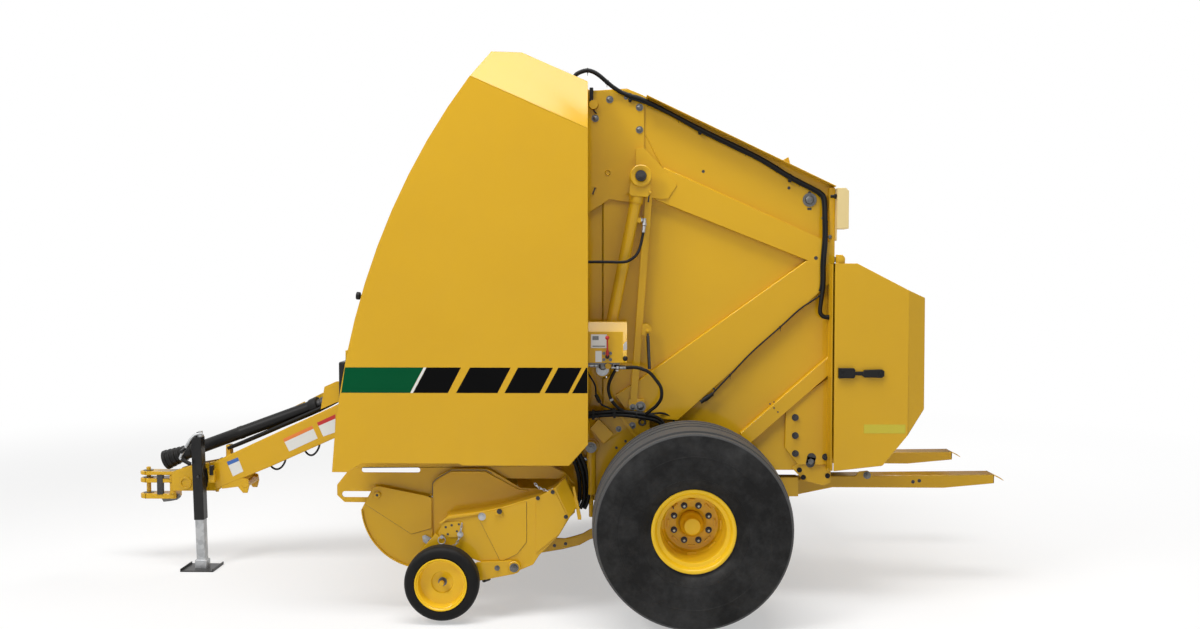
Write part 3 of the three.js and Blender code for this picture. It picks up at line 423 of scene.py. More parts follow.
def buildStage():
    look = {"floor": (0.9, 0.9, 0.9, 1), "sky": (1, 1, 1, 1), "fill": 0.3, "reach": 60, "fadeFrom": 3.2,
            "fadeTo": 9.5, "least": 0.45, "below": 0.0005, "aim": (0, 0, 1.2)}
    bm = bmesh.new()
    bmesh.ops.create_grid(bm, x_segments=1, y_segments=1, size=look["reach"])
    mesh = bpy.data.meshes.new("floor")
    bm.to_mesh(mesh)
    bm.free()
    material, tree, shader = newMaterial("floorPaper")
    feed(tree, shader, {"Base Color": look["floor"], "Roughness": 0.9, "Specular IOR Level": 0.1})
    seen = seenRays(tree)
    away = put(tree, "VectorMath", {0: put(tree, "TexCoord").outputs["Object"]}, operation="LENGTH")
    fade = put(tree, "MapRange", {"Value": away.outputs["Value"], "From Min": look["fadeFrom"],
                                  "From Max": look["fadeTo"], "To Min": look["least"]},
                                  interpolation_type="SMOOTHSTEP")
    share = put(tree, "Math", {0: seen, 1: fade.outputs[0]}, operation="MULTIPLY")
    white = put(tree, "Emission", {"Color": look["sky"], "Strength": 1.0})
    mixed = put(tree, "MixShader", {0: share.outputs[0], 1: shader.outputs[0], 2: white.outputs[0]})
    tree.links.new(mixed.outputs[0], tree.nodes["Material Output"].inputs["Surface"])
    mesh.materials.append(material)
    floor = bpy.data.objects.new("floor", mesh)
    floor.location.z = -look["below"]
    bpy.context.collection.objects.link(floor)
    world = bpy.data.worlds.new("sky")
    world.use_nodes = True
    bpy.context.scene.world = world
    tree = world.node_tree
    backdrop = tree.nodes["Background"]
    power = put(tree, "MapRange", {"Value": seenRays(tree), "To Min": look["fill"], "To Max": 1.0})
    feed(tree, backdrop, {"Color": look["sky"], "Strength": power.outputs[0]})
    lamps = {"key": {"place": (-5.5, -6.2, 7.5), "power": 375, "size": (3, 3)},
             "top": {"place": (0, -2.9, 8), "power": 440, "size": (6.8, 2.5)},
             "rear": {"place": (5, 6, 7), "power": 420, "size": (5, 5)}}
    for name, lamp in lamps.items():
        light = bpy.data.lights.new(name, "AREA")
        light.energy = lamp["power"]
        light.shape = "RECTANGLE"
        light.size, light.size_y = lamp["size"]
        made = bpy.data.objects.new(name, light)
        made.location = lamp["place"]
        aim = Vector(look["aim"]) - Vector(lamp["place"])
        made.rotation_euler = aim.to_track_quat("-Z", "Y").to_euler()
        bpy.context.collection.objects.link(made)


buildStage()


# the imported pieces, with softened edges
def nodeMesh(node):
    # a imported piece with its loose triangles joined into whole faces
    bm = bmesh.new()
    bm.from_mesh(frame["nodes"][node].data)
    bmesh.ops.remove_doubles(bm, verts=bm.verts, dist=1e-5)
    bmesh.ops.dissolve_limit(bm, angle_limit=radians(0.5), verts=bm.verts, edges=bm.edges)
    return bm


def softCopy(node, material, body, width):
    piece = finishPiece(node + "_panel", nodeMesh(node), material, body, bevel=width)
    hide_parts(node)


bodyOf = {node: body for body, nodes in frame["record"]["behaviour"]["bodies"].items() for node in nodes}
finishes = {"yellow_paint": yellowPaint, "black_paint": blackPaint, "belt_rubber": beltRubber,
            "zinc_steel": zincSteel, "chromed_rod": chromedRod}
slotOf = {part["node"]: part["material_slot"] for part in frame["record"]["subparts"]}
edgeWidths = {"tongue": 0.006, "hitch_clevis": 0.004, "axle": 0.008, "front_crossmember": 0.008,
              "gearbox": 0.01, "valve_box": 0.006, "bale_ramp": 0.006}
remade = ("bale_ramp", "tyre", "rim", "hose", "hoses", "harness", "loop", "bracing", "lamp_box", "barrel",
          "rod",
          "net_cover", "valve_box", "pto_driveline", "pickup_drive_cover")
for node in sorted(bodyOf):
    if not node.endswith(remade):      # the rest have pieces of their own below
        softCopy(node, finishes[slotOf[node]], bodyOf[node], edgeWidths.get(node, 0.002))
print("frame pieces finished")


# tyres and wheels
def tyreRubber(name, centre, look):
    material, tree, shader = newMaterial(name)
    place = put(tree, "TexCoord").outputs["Object"]
    middle = put(tree, "Mapping", {"Vector": place, "Location": -Vector(centre)})
    parts = put(tree, "SeparateXYZ", {0: middle.outputs[0]})
    across = put(tree, "CombineXYZ", {"X": parts.outputs["X"], "Z": parts.outputs["Z"]})
    radius = put(tree, "VectorMath", {0: across.outputs[0]}, operation="LENGTH")
    # past treadFrom the tread turns a lighter grey: painted light from above on the tread, with some dust
    tread = put(tree, "MapRange", {"Value": radius.outputs["Value"], "From Min": look["treadFrom"],
                                   "From Max": look["treadTo"]})
    mottle = put(tree, "TexNoise", {"Vector": place, "Scale": 4.5, "Detail": 9, "Roughness": 0.72})
    patches = put(tree, "MapRange", {"Value": mottle.outputs[0], "From Min": 0.42, "From Max": 0.72})
    wall = mixColour(tree, patches.outputs[0], (*look["dark"], 1), (*look["grey"], 1))
    colour = mixColour(tree, tread.outputs[0], wall, (*look["lighter"], 1))
    dust = put(tree, "Group", {"Color": colour, "Amount": 0.05, "Scale": 11}, node_tree=fieldDust)
    grain = put(tree, "Group", {"Scale": 420, "Roughness": 0.55, "Spread": 0.25}, node_tree=surfaceGrain)
    bump = put(tree, "Bump", {"Height": grain.outputs["Height"], "Strength": 0.35, "Distance": 0.0008})
    feed(tree, shader, {"Base Color": dust.outputs["Color"], "Roughness": grain.outputs["Roughness"],
                        "Normal": bump.outputs[0], "Specular IOR Level": 0.16})
    return material


mainWheel = {"radius": 0.54, "crown": 0.02, "half": 0.245, "middle": 1.12, "grooves": (0.085, 0.21),
             "grooveHalf": 0.016, "grooveDepth": 0.022, "moulded": (2, 13, 23), "bolts": 8,
             "boltRing": 0.1016,
             "boltSize": 0.022, "disc": 0.016, "pads": ((0.125, 0.012, 0.026, (0.012, 0.04)),
                                                        (0.157, 0.035, 0.064, (0.012, 0.05)))}


def mainTreadRadius(along):
    return mainWheel["radius"] - mainWheel["crown"] * (along / mainWheel["half"]) ** 3


def mainTyreHalf():
    # (radius, along) from the middle of the tread out to the bead
    wide, deep = mainWheel["grooveHalf"], mainWheel["grooveDepth"]
    half = [(mainTreadRadius(0) - deep, 0), (mainTreadRadius(0) - deep, wide * 0.75),
            (mainTreadRadius(wide), wide)]
    for groove in mainWheel["grooves"]:
        half += [(mainTreadRadius(groove - 0.03), groove - 0.03),
                 (mainTreadRadius(groove - wide), groove - wide),
                 (mainTreadRadius(groove) - deep, groove - wide * 0.75),
                 (mainTreadRadius(groove) - deep, groove + wide * 0.75),
                 (mainTreadRadius(groove + wide), groove + wide)]
    half += [(mainTreadRadius(a), a) for a in (0.234, 0.241)]
    shoulder = [(mainTreadRadius(0.245), 0.2445), (0.51, 0.2475), (0.485, 0.2535), (0.455, 0.2625),
                (0.42, 0.2685), (0.385, 0.27), (0.345, 0.2675), (0.31, 0.2615), (0.28, 0.2525),
                (0.255, 0.2385), (0.2395, 0.2265), (0.2265, 0.2225)]
    wall = [(p.x, p.y) for p in smoothLine([Vector((r, a, 0)) for r, a in shoulder], 3)]
    ridged = []
    for i, (r, a) in enumerate(wall):
        ridged.append((r, a))
        if i in mainWheel["moulded"]:     # thin raised rings
            following = wall[i + 1]
            ridged += [(r + (following[0] - r) * t, a + (following[1] - a) * t + lift)
                       for t, lift in ((0.2, 0.0), (0.3, 0.0012), (0.55, 0.0012), (0.65, 0.0))]
    return half + ridged + [(0.2125, 0.2195), (0.2065, 0.205), (0.206, 0.18)]


def buildMainWheel(name, side, material):
    centre = Vector((axleMiddle.x, side * mainWheel["middle"], axleMiddle.z))
    half = mainTyreHalf()
    ring = [(r, -a) for r, a in reversed(half)] + half[1:]
    bm = bmesh.new()
    addTurned(bm, [(r, side * a) for r, a in ring], centre, steps=96)
    tyre = finishPiece(name + "_tyre_tread", bm, material, name + "_wheel", smooth=38)
    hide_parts(name + "_tyre")
    profile = [(0.2055, 0.19), (0.206, 0.205), (0.214, 0.214), (0.2225, 0.2185), (0.2247, 0.2235),
               (0.2235, 0.2285), (0.219, 0.23), (0.211, 0.2288), (0.205, 0.2248), (0.2005, 0.218),
               (0.1975, 0.207), (0.194, 0.1995), (0.188, 0.1968), (0.181, 0.1948), (0.1755, 0.191),
               (0.1735, 0.184), (0.173, 0.15), (0.1712, 0.12), (0.166, 0.106), (0.163, 0.098), (0.162, 0.07),
               (0.1605, 0.06), (0.155, 0.052), (0.1525, 0.045), (0.1515, 0.034), (0.15, 0.026),
               (0.1465, 0.0205), (0.14, 0.0185), (0.13, 0.016), (0.088, 0.016), (0.08, 0.014),
               (0.0668, 0.009), (0.0668, -0.004), (0.15, -0.004), (0.16, -0.02), (0.164, -0.05), (0.17, -0.1),
               (0.185, -0.17), (0.1955, -0.2), (0.2, -0.218), (0.206, -0.228), (0.219, -0.23),
               (0.2247, -0.2235), (0.214, -0.214), (0.2065, -0.205), (0.2055, -0.19)]
    bm = bmesh.new()
    addTurned(bm, [(r, side * a) for r, a in profile], centre, steps=96)
    hub = [(0, 0.115), (0.036, 0.115), (0.0435, 0.1115), (0.0455, 0.105), (0.0465, 0.078), (0.052, 0.066),
           (0.06, 0.06), (0.064, 0.052), (0.065, -0.09), (0.0463, -0.09), (0.0463, 0.067), (0, 0.067)]
    addTurned(bm, [(r, side * a) for r, a in hub], centre, steps=48)
    outward = Vector((0, side, 0))
    for k in range(mainWheel["bolts"]):        # raised pads between the studs, and tabs at the disc's edge
        angle = k * 2 * pi / mainWheel["bolts"]
        turn = Matrix.Rotation(-angle, 4, "Y")
        for reach, low, high, size in mainWheel["pads"]:
            middle = centre + outward * (low + high) / 2 + Vector((cos(angle), 0, sin(angle))) * reach
            corner = Vector((size[0], high - low, size[1])) / 2
            addBlock(bm, middle - corner, middle + corner, turn)
    rim = finishPiece(name + "_rim_disc", bm, wheelYellow, name + "_wheel", smooth=40,
                      bevel=0.001)
    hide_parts(name + "_rim")
    heads = []
    for k in range(mainWheel["bolts"]):
        angle = (k + 0.5) * 2 * pi / mainWheel["bolts"]
        heads.append(centre + outward * mainWheel["disc"]
                     + Vector((cos(angle), 0, sin(angle))) * mainWheel["boltRing"])
    bm = bmesh.new()
    for head in heads:
        addBolt(bm, head, outward, mainWheel["boltSize"])
    valve = centre + Vector((-0.1, side * 0.03, 0.087))
    addRod(bm, valve - outward * 0.01, valve + outward * 0.025, 0.004, 10)
    finishPiece(name + "_wheel_nuts", bm, darkSteel, name + "_wheel")
    bm = bmesh.new()
    for head in heads:
        addRod(bm, head + outward * 0.012, head + outward * 0.021, 0.0062, 12)
    finishPiece(name + "_wheel_studs", bm, boltZinc, name + "_wheel")


# the tread's lighter grey is painted light from above, with some dust
mainRubber = tyreRubber("tyreRubber", (axleMiddle.x, 0, axleMiddle.z), {
    "treadFrom": 0.508, "treadTo": 0.513, "dark": (0.006, 0.006, 0.0063), "grey": (0.034, 0.034, 0.0345),
    "lighter": (0.085, 0.085, 0.086)})
for name, side in sides:
    buildMainWheel(name, side, mainRubber)

gaugeLow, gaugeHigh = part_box("left_gauge_tyre")
gaugeMiddle = (gaugeLow + gaugeHigh) / 2


def buildGaugeWheel(name, side, material):
    centre = Vector((gaugeMiddle.x, side * abs(gaugeMiddle.y), gaugeMiddle.z))
    half = [(0.203, 0), (0.2028, 0.02), (0.202, 0.028), (0.199, 0.0355), (0.1985, 0.0352), (0.1965, 0.0385),
            (0.192, 0.044), (0.184, 0.0495), (0.172, 0.052), (0.152, 0.052), (0.1445, 0.0495), (0.141, 0.046),
            (0.1345, 0.042), (0.1302, 0.038)]
    bm = bmesh.new()
    addTurned(bm, [(r, side * a) for r, a in [(r, -a) for r, a in reversed(half)] + half[1:]], centre,
              steps=72)
    tyre = finishPiece(name + "_gauge_tread", bm, material, name + "_gauge_wheel", smooth=38)
    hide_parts(name + "_gauge_tyre")
    profile = [(0.1295, 0.036), (0.131, 0.0455), (0.1395, 0.0505), (0.1425, 0.053), (0.1408, 0.0555),
               (0.1365, 0.0548), (0.1338, 0.0505), (0.131, 0.0478), (0.1278, 0.0492), (0.125, 0.0472),
               (0.1236, 0.041), (0.1215, 0.012), (0.117, 0.003), (0.106, -0.001), (0.066, -0.001),
               (0.0605, -0.003), (0.057, -0.014), (0.05, -0.017), (0.015, -0.017), (0.015, -0.024),
               (0.056, -0.024), (0.064, -0.008), (0.115, -0.006), (0.122, -0.03), (0.1305, -0.0478),
               (0.1365, -0.0548), (0.1425, -0.053), (0.131, -0.0455), (0.1295, -0.036)]
    bm = bmesh.new()
    addTurned(bm, [(r, side * a) for r, a in profile], centre, steps=72)
    rim = finishPiece(name + "_gauge_disc", bm, wheelYellow, name + "_gauge_wheel", smooth=40)
    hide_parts(name + "_gauge_rim")
    outward = Vector((0, side, 0))
    bm = bmesh.new()
    addRod(bm, centre - outward * 0.0172, centre - outward * 0.013, 0.024, 28)
    addBolt(bm, centre - outward * 0.013, outward, 0.03, washer=False)
    finishPiece(name + "_gauge_nut", bm, greyBolt, name + "_gauge_wheel")


gaugeRubber = tyreRubber("gaugeRubber", (gaugeMiddle.x, 0, gaugeMiddle.z), {
    "treadFrom": 0.19, "treadTo": 0.203, "dark": (0.004, 0.004, 0.0043), "grey": (0.007, 0.007, 0.0073),
    "lighter": (0.012, 0.012, 0.0123)})
for name, side in sides:
    buildGaugeWheel(name, side, gaugeRubber)
print("wheels finished")


# side doors
doorLook = {"face": 1.17, "stripeLow": 1250, "stripeHigh": 1388, "lift": 0.0006,
            "green": ((-1899, -1525), (-1878, -1451)), "white": ((-1524, -1509), (-1450, -1435)),
            "black": (((-1508, -1320), (-1434, -1248)), ((-1275, -1051), (-1199, -979)),
                      ((-1013, -823), (-939, -750)), ((-796, -668), (-721, -595)),
                      ((-647, -564), (-572, -564)))}


def decal(bm, outline, side, face, lift):
    # a thin printed sheet on a flat face across the machine
    near, far = side * (face - 0.0004), side * (face + lift)
    addPlate(bm, flat(outline), near, far)


def buildDoorMarks(name, side):
    for colour, material, bands in (("green", stripeGreen, (doorLook["green"],)),
                                    ("white", labelWhite, (doorLook["white"],)),
                                    ("black", stripeBlack, doorLook["black"])):
        bm = bmesh.new()
        for lower, upper in bands:      # each band's ends at its lower and its upper edge
            low, high = doorLook["stripeLow"], doorLook["stripeHigh"]
            decal(bm, [(lower[0], low), (lower[1], low), (upper[1], high), (upper[0], high)], side,
                  doorLook["face"], doorLook["lift"])
        finishPiece(name + "_stripe_" + colour, bm, material, name + "_side_door")
    bm = bmesh.new()       # latch knob at the door's front edge
    addRod(bm, spot(-1776, side * 1146, 1772), spot(-1800, side * 1146, 1774), 0.009, 16)
    addRod(bm, spot(-1797, side * 1146, 1774), spot(-1817, side * 1146, 1776), 0.021, 24)
    finishPiece(name + "_door_knob", bm, blackPlastic, name + "_side_door", bevel=0.003)


for name, side in sides:
    buildDoorMarks(name, side)
print("doors finished")


# small hardware
def addDome(bm, head, outward, radius, washer=True):
    head, outward = Vector(head), Vector(outward).normalized()
    if washer:
        addRod(bm, head, head + outward * radius * 0.22, radius * 1.5, 24)
    start = head + outward * radius * 0.2
    addRod(bm, start, start + outward * radius * 0.4, radius, 20, radius * 0.86)
    addRod(bm, start + outward * radius * 0.4, start + outward * radius * 0.65, radius * 0.86, 20,
           radius * 0.4)


def addSlug(bm, centre, outward, length, width, depth, lean=0):
    # a flat lozenge with round ends, its long way leaning from upright
    outward = Vector(outward).normalized()
    turn = Matrix.Translation(Vector(centre)) @ Matrix.Rotation(lean, 4, "Y")
    reach = (length - width) / 2
    verts = []
    for shift in (-reach, reach):
        start = Vector((0, 0, shift)) - outward * depth * 0.5
        verts += addRod(bm, start, start + outward * depth, width / 2, 16)
    half = Vector((width / 2, depth / 2, reach))
    verts += addBlock(bm, -half, half)
    bmesh.ops.transform(bm, matrix=turn, verts=verts)


def addTurnedAlong(bm, profile, start, far, steps=32):
    # profile: (radius, along) with its axis running from start towards far
    verts = addTurned(bm, profile, (0, 0, 0), steps=steps)
    turn = (Vector(far) - Vector(start)).to_track_quat("Y", "Z").to_matrix().to_4x4()
    bmesh.ops.transform(bm, matrix=Matrix.Translation(Vector(start)) @ turn, verts=verts)


# gate walls and braces
gateLook = {"wall": 802, "plate": 812.3, "brace": 838, "corner": 822.3, "ear": 922, "fold": 0.022,
            "slots": ((-538, 2364, 22, 812), (-228, 2318, 4, 862)), "pin": (-273, 2440),
            "earCentre": (-273, 2436), "earRadius": 60, "ears": ((922, 912), (852, 842)),
            "roundPlate": (812.5, 843.5), "tab": (806, 800), "bracket": (802.8, 811), "rearFlange": (882, 18),
            "latchPlane": 822, "cordPlane": 826,
            "domes": ((-448, 2881), (-530, 2775), (-279, 2836), (-279, 2710)),
            "cornerBolts": ((612, 1074), (613, 970), (614, 867), (786, 848)),
            "braceHoles": ((489, 1130, 5), (466, 1153, 5), (511, 1107, 5), (488, 1164, 4), (720, 1983, 11)),
            "wallHoles": ((84, 2475, 9), (570, 2381, 9), (687, 2352, 10), (687, 2338, 6), (681, 2262, 7),
                          (693, 2262, 7))}


def chamferBraces(node):
    # the braces' long upper edges are folded back, so they catch the light
    bm = nodeMesh(node)
    long = []
    for edge in bm.edges:
        near = all(abs(abs(vert.co.y) - gateLook["brace"] / 1000) < 0.002 for vert in edge.verts)
        if near and edge.calc_length() > 0.5 and abs((edge.verts[0].co - edge.verts[1].co).z) < 1.0:
            if any(face.normal.z > 0.4 for face in edge.link_faces):
                long.append(edge)
    bmesh.ops.bevel(bm, geom=long, offset=gateLook["fold"], segments=1, profile=0.5, affect="EDGES",
                    material=-1, clamp_overlap=True)
    return bm


def buildGateBolts(name, side):
    outward = (0, side, 0)
    node = name + "_gate_bracing"
    braces = finishPiece(node + "_panel", chamferBraces(node), yellowPaint, "gate",
                         bevel=0.002)
    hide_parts(node)
    bm = bmesh.new()
    for x, z in gateLook["domes"]:
        addDome(bm, sidePoint(side, x, z, gateLook["plate"]), outward, 0.0138)
    addDome(bm, sidePoint(side, -356, 2892, gateLook["plate"]), outward, 0.008)
    addDome(bm, sidePoint(side, 687, 2313, gateLook["wall"]), outward, 0.026)
    for x, z in ((797, 2102), (759, 2208)):
        addDome(bm, sidePoint(side, x, z, gateLook["brace"]), outward, 0.011, washer=False)
    finishPiece(name + "_gate_bolts", bm, greyBolt, "gate")


def buildGateHoles(name, side):
    outward = (0, side, 0)
    bm = bmesh.new()
    for x, z in gateLook["cornerBolts"]:
        addBolt(bm, sidePoint(side, x, z, gateLook["corner"]), outward, 0.024)
    # a dark slot behind the slot bolt: painted shade in the slot
    addSlug(bm, sidePoint(side, 703, 828, gateLook["corner"]), outward, 0.085, 0.05, 0.004, radians(12))
    # dark discs at the holes: painted shade inside them
    for holes, face in ((gateLook["braceHoles"], gateLook["brace"]),
                        (gateLook["wallHoles"], gateLook["wall"])):
        for x, z, size in holes:
            addRod(bm, sidePoint(side, x, z, face - 2), sidePoint(side, x, z, face + 0.6), size / 1000, 16)
    # dark lozenges inside the raised slot rims: painted shade in the slots
    for x, z, lean, face in gateLook["slots"]:
        addSlug(bm, sidePoint(side, x, z, face + 3.5), outward, 0.044, 0.008, 0.0012, radians(lean))
    finishPiece(name + "_gate_bolts_and_hole_shade", bm, darkSteel, "gate")
    bm = bmesh.new()
    addBolt(bm, sidePoint(side, 700, 824, gateLook["corner"] + 2), outward, 0.03, washer=False)
    finishPiece(name + "_gate_slot_bolt", bm, greyBolt, "gate")


def buildGateEars(name, side):
    # pressed ring, top tab, and the round plates that carry the cylinder's upper pin
    outward = (0, side, 0)
    bm = bmesh.new()
    ring = sidePoint(side, -459, 2468, gateLook["plate"])
    addTurned(bm, [(0.011, 0), (0.0125, side * 0.003), (0.0155, side * 0.003), (0.017, 0)], ring, steps=24)
    tab = [(519, 2500), (580, 2474), (580, 2506), (566, 2556), (519, 2530)]
    addSidePlate(bm, tab, side, *gateLook["tab"])
    corner = [(-300, 2600), (-254, 2604), (-141, 2485), (-67, 2395), (-118, 2316), (-240, 2322), (-300, 2420)]
    addSidePlate(bm, corner, side, *gateLook["roundPlate"])
    wall = gateLook["wall"]
    addRod(bm, sidePoint(side, -243, 2683, wall), sidePoint(side, -150, 2500, wall), 0.004, 8)
    for x, z, lean, face in gateLook["slots"]:
        addSlug(bm, sidePoint(side, x, z, face), outward, 0.062, 0.02, 0.007, radians(lean))
    addDome(bm, sidePoint(side, -221, 2348, gateLook["ear"]), outward, 0.009, washer=False)
    (x, z), r = gateLook["earCentre"], gateLook["earRadius"]
    ears = [(x + r * cos(a), z + r * sin(a)) for a in (radians(turn) for turn in range(-20, 201, 20))]
    ears += [(-338, 2345), (-330, 2330), (-236, 2322), (-221, 2338)]
    for near, far in gateLook["ears"]:
        addSidePlate(bm, ears, side, near, far)
    addTurned(bm, [(0.031, side * 0.92), (0.031, side * 0.93), (0.056, side * 0.936), (0.062, side * 0.932),
                   (0.063, side * 0.92)], spot(gateLook["pin"][0], 0, gateLook["pin"][1]), steps=40)
    finishPiece(name + "_gate_ears", bm, yellowPaint, "gate", bevel=0.0015)


def buildGateFlange(name, side):
    bm = bmesh.new()
    plane, half = gateLook["rearFlange"]
    addBlock(bm, spot(800, side * plane - half, 850), spot(820, side * plane + half, 1900))
    bracket = [(594, 784), (666, 709), (777, 680), (819, 697), (819, 770), (790, 800), (640, 810)]
    addSidePlate(bm, bracket, side, *gateLook["bracket"])
    finishPiece(name + "_gate_rear_flange", bm, yellowPaint, "gate", bevel=0.0015)
    bm = bmesh.new()
    for x, z in ((663, 728), (801, 737), (640, 770)):
        addBolt(bm, sidePoint(side, x, z, gateLook["bracket"][1]), (0, side, 0), 0.018)
    plane, half = gateLook["latchPlane"], 8
    addBlock(bm, spot(-562, side * plane - half, 2872), spot(-541, side * plane + half, 2946))
    y = side * gateLook["cordPlane"]
    addHose(bm, [(-548, y, 2880), (-536, y, 2862), (-542, y, 2838), (-534, y, 2812), (-520, y, 2800)], 0.004,
            sides=8)
    finishPiece(name + "_gate_latch_bits", bm, blackPlastic, "gate", smooth=40)


def buildGatePin(name, side):
    outward = Vector((0, side, 0))
    bm = bmesh.new()
    pin = sidePoint(side, *gateLook["pin"], gateLook["ear"])
    addRod(bm, pin, pin + outward * 0.018, 0.03, 32)
    addBolt(bm, pin + outward * 0.017, outward, 0.034, washer=False)
    finishPiece(name + "_gate_pin", bm, darkSteel, "gate")


# lamps
lampLook = {"front": 0.826, "rear": 0.8912, "low": 2.146, "high": 2.374, "out": 0.8995, "in": 0.77}


def lampGlass():
    material, tree, shader = newMaterial("lampGlass")
    place = put(tree, "TexCoord").outputs["Object"]
    ribs = put(tree, "TexWave", {"Vector": place, "Scale": 60, "Distortion": 0}, bands_direction="Z")
    colour = mixColour(tree, ribs.outputs[1], (0.42, 0.015, 0.01, 1), (0.3, 0.01, 0.008, 1))
    bump = put(tree, "Bump", {"Height": ribs.outputs[1], "Strength": 0.6, "Distance": 0.002})
    feed(tree, shader, {"Base Color": colour, "Normal": bump.outputs[0], "Roughness": 0.15,
                        "Coat Weight": 0.6})
    return material


redLens = lampGlass()


def buildLamp(name, side):
    shift = axleMiddle.x
    front, rear = lampLook["front"] + shift, lampLook["rear"] + shift
    low, high = lampLook["low"], lampLook["high"]
    near, far = sorted((side * lampLook["in"], side * lampLook["out"]))
    bm = bmesh.new()
    addBlock(bm, (front, near, low), (rear, far, high))
    slanted = [edge for edge in bm.edges
               if all(v.co.x > rear - 0.001 and v.co.z > high - 0.001 for v in edge.verts)]
    bmesh.ops.bevel(bm, geom=slanted, offset=0.018, segments=1, profile=0.5, affect="EDGES", material=-1)
    rearFace = max(bm.faces, key=lambda face: face.normal.x * face.calc_area())
    bmesh.ops.inset_region(bm, faces=[rearFace], thickness=0.012, depth=-0.006)
    addBlock(bm, spot(825.5, side * 838 - 30, 2080), spot(831.5, side * 838 + 30, 2150))
    # the housing gets the lit copy of the yellow paint: painted light
    piece = finishPiece(name + "_lamp_housing", bm, paintedLitYellow, "gate", bevel=0.003)
    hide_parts(name + "_lamp_box")
    bm = bmesh.new()
    middle = side * 0.835
    for height in (2.2, 2.3):
        addTurnedAlong(bm, [(0, 0.014), (0.022, 0.0125), (0.034, 0.008), (0.038, 0), (0.038, -0.004),
                            (0, -0.004)], (rear - 0.006, middle, height), (rear + 0.1, middle, height), 36)
    finishPiece(name + "_lamp_lenses", bm, redLens, "gate")
    bm = bmesh.new()
    gland = spot(825, side * 872, 2328)
    addRod(bm, gland - Vector((0.032, 0, 0)), gland + Vector((0.002, 0, 0)), 0.009, 16)
    addRod(bm, gland - Vector((0.012, 0, 0)), gland + Vector((0.002, 0, 0)), 0.014, 6)
    finishPiece(name + "_lamp_gland", bm, blackPlastic, "gate")


# net box at the rear
netLook = {"bend": 1.2145, "tuck": 0.036, "face": 956}


def buildNetBox():
    bm = nodeMesh("net_cover")
    bend = axleMiddle.x + netLook["bend"]
    bmesh.ops.bisect_plane(bm, geom=bm.verts[:] + bm.edges[:] + bm.faces[:], dist=1e-5,
                           plane_co=(bend, 0, 0), plane_no=(1, 0, 0))
    for vert in bm.verts:       # behind the bend the side leans in
        if vert.co.x > bend + 0.005 and abs(vert.co.y) > 0.9:
            share = min(1, (vert.co.x - bend) / 0.1)
            vert.co.y -= netLook["tuck"] * share * (1 if vert.co.y > 0 else -1)
    piece = finishPiece("net_cover_panel", bm, yellowPaint, "net_box", smooth=12, bevel=0.004)
    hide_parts("net_cover")
    for name, side in sides:
        outward = Vector((0, side, 0))
        bm = bmesh.new()
        face = side * netLook["face"] / 1000
        grip = [(825, 1313), (912, 1313), (918, 1325), (918, 1358), (912, 1370), (825, 1370)]
        addPlate(bm, flat(grip), face, face + side * 0.022)
        strap = [(910, 1330), (1000, 1326), (1000, 1352), (910, 1350)]
        addPlate(bm, flat(strap), face + side * 0.006, face + side * 0.016)
        handle = [(955, 1330), (968, 1318), (1066, 1316), (1079, 1326), (1079, 1354), (1066, 1363),
                  (968, 1360)]
        addPlate(bm, flat(handle), face, face + side * 0.02)
        for x, z in ((846, 1328), (846, 1355), (1058, 1340)):
            head = spot(x, side * (netLook["face"] + 20), z)
            addRod(bm, head, head + outward * 0.006, 0.008, 16)
        finishPiece(name + "_net_latch", bm, blackPlastic, "net_box", bevel=0.004)
        bm = bmesh.new()
        decal(bm, rectangle(972, 1004, 1203, 1054), side, netLook["face"] / 1000, 0.0007)
        finishPiece(name + "_reflector", bm, reflectorFilm, "net_box")
        bm = bmesh.new()
        roll = spot(838, side * 900, 1975)
        addRod(bm, roll, roll + outward * 0.055, 0.022, 28)
        addRod(bm, roll + outward * 0.053, roll + outward * 0.059, 0.013, 20)
        ear = [(812, 1930), (860, 1930), (862, 1975), (812, 1990)]
        addSidePlate(bm, ear, side, 930, 945)
        finishPiece(name + "_net_hinge", bm, yellowPaint, "net_box", bevel=0.0015)


# gate cylinders
cylinderLook = {"foot": (-488, 1354), "head": (-273, 2436), "plane": 880, "length": 1103, "barrel": 0.0325,
                "rod": 0.019}
cylinderRun = Vector((cylinderLook["head"][0] - cylinderLook["foot"][0], 0,
                      cylinderLook["head"][1] - cylinderLook["foot"][1]))


def alongCylinder(side, distance, reach=0):
    step = cylinderRun.normalized() * distance
    return spot(cylinderLook["foot"][0] + step.x, side * (cylinderLook["plane"] + reach),
                cylinderLook["foot"][1] + step.z)


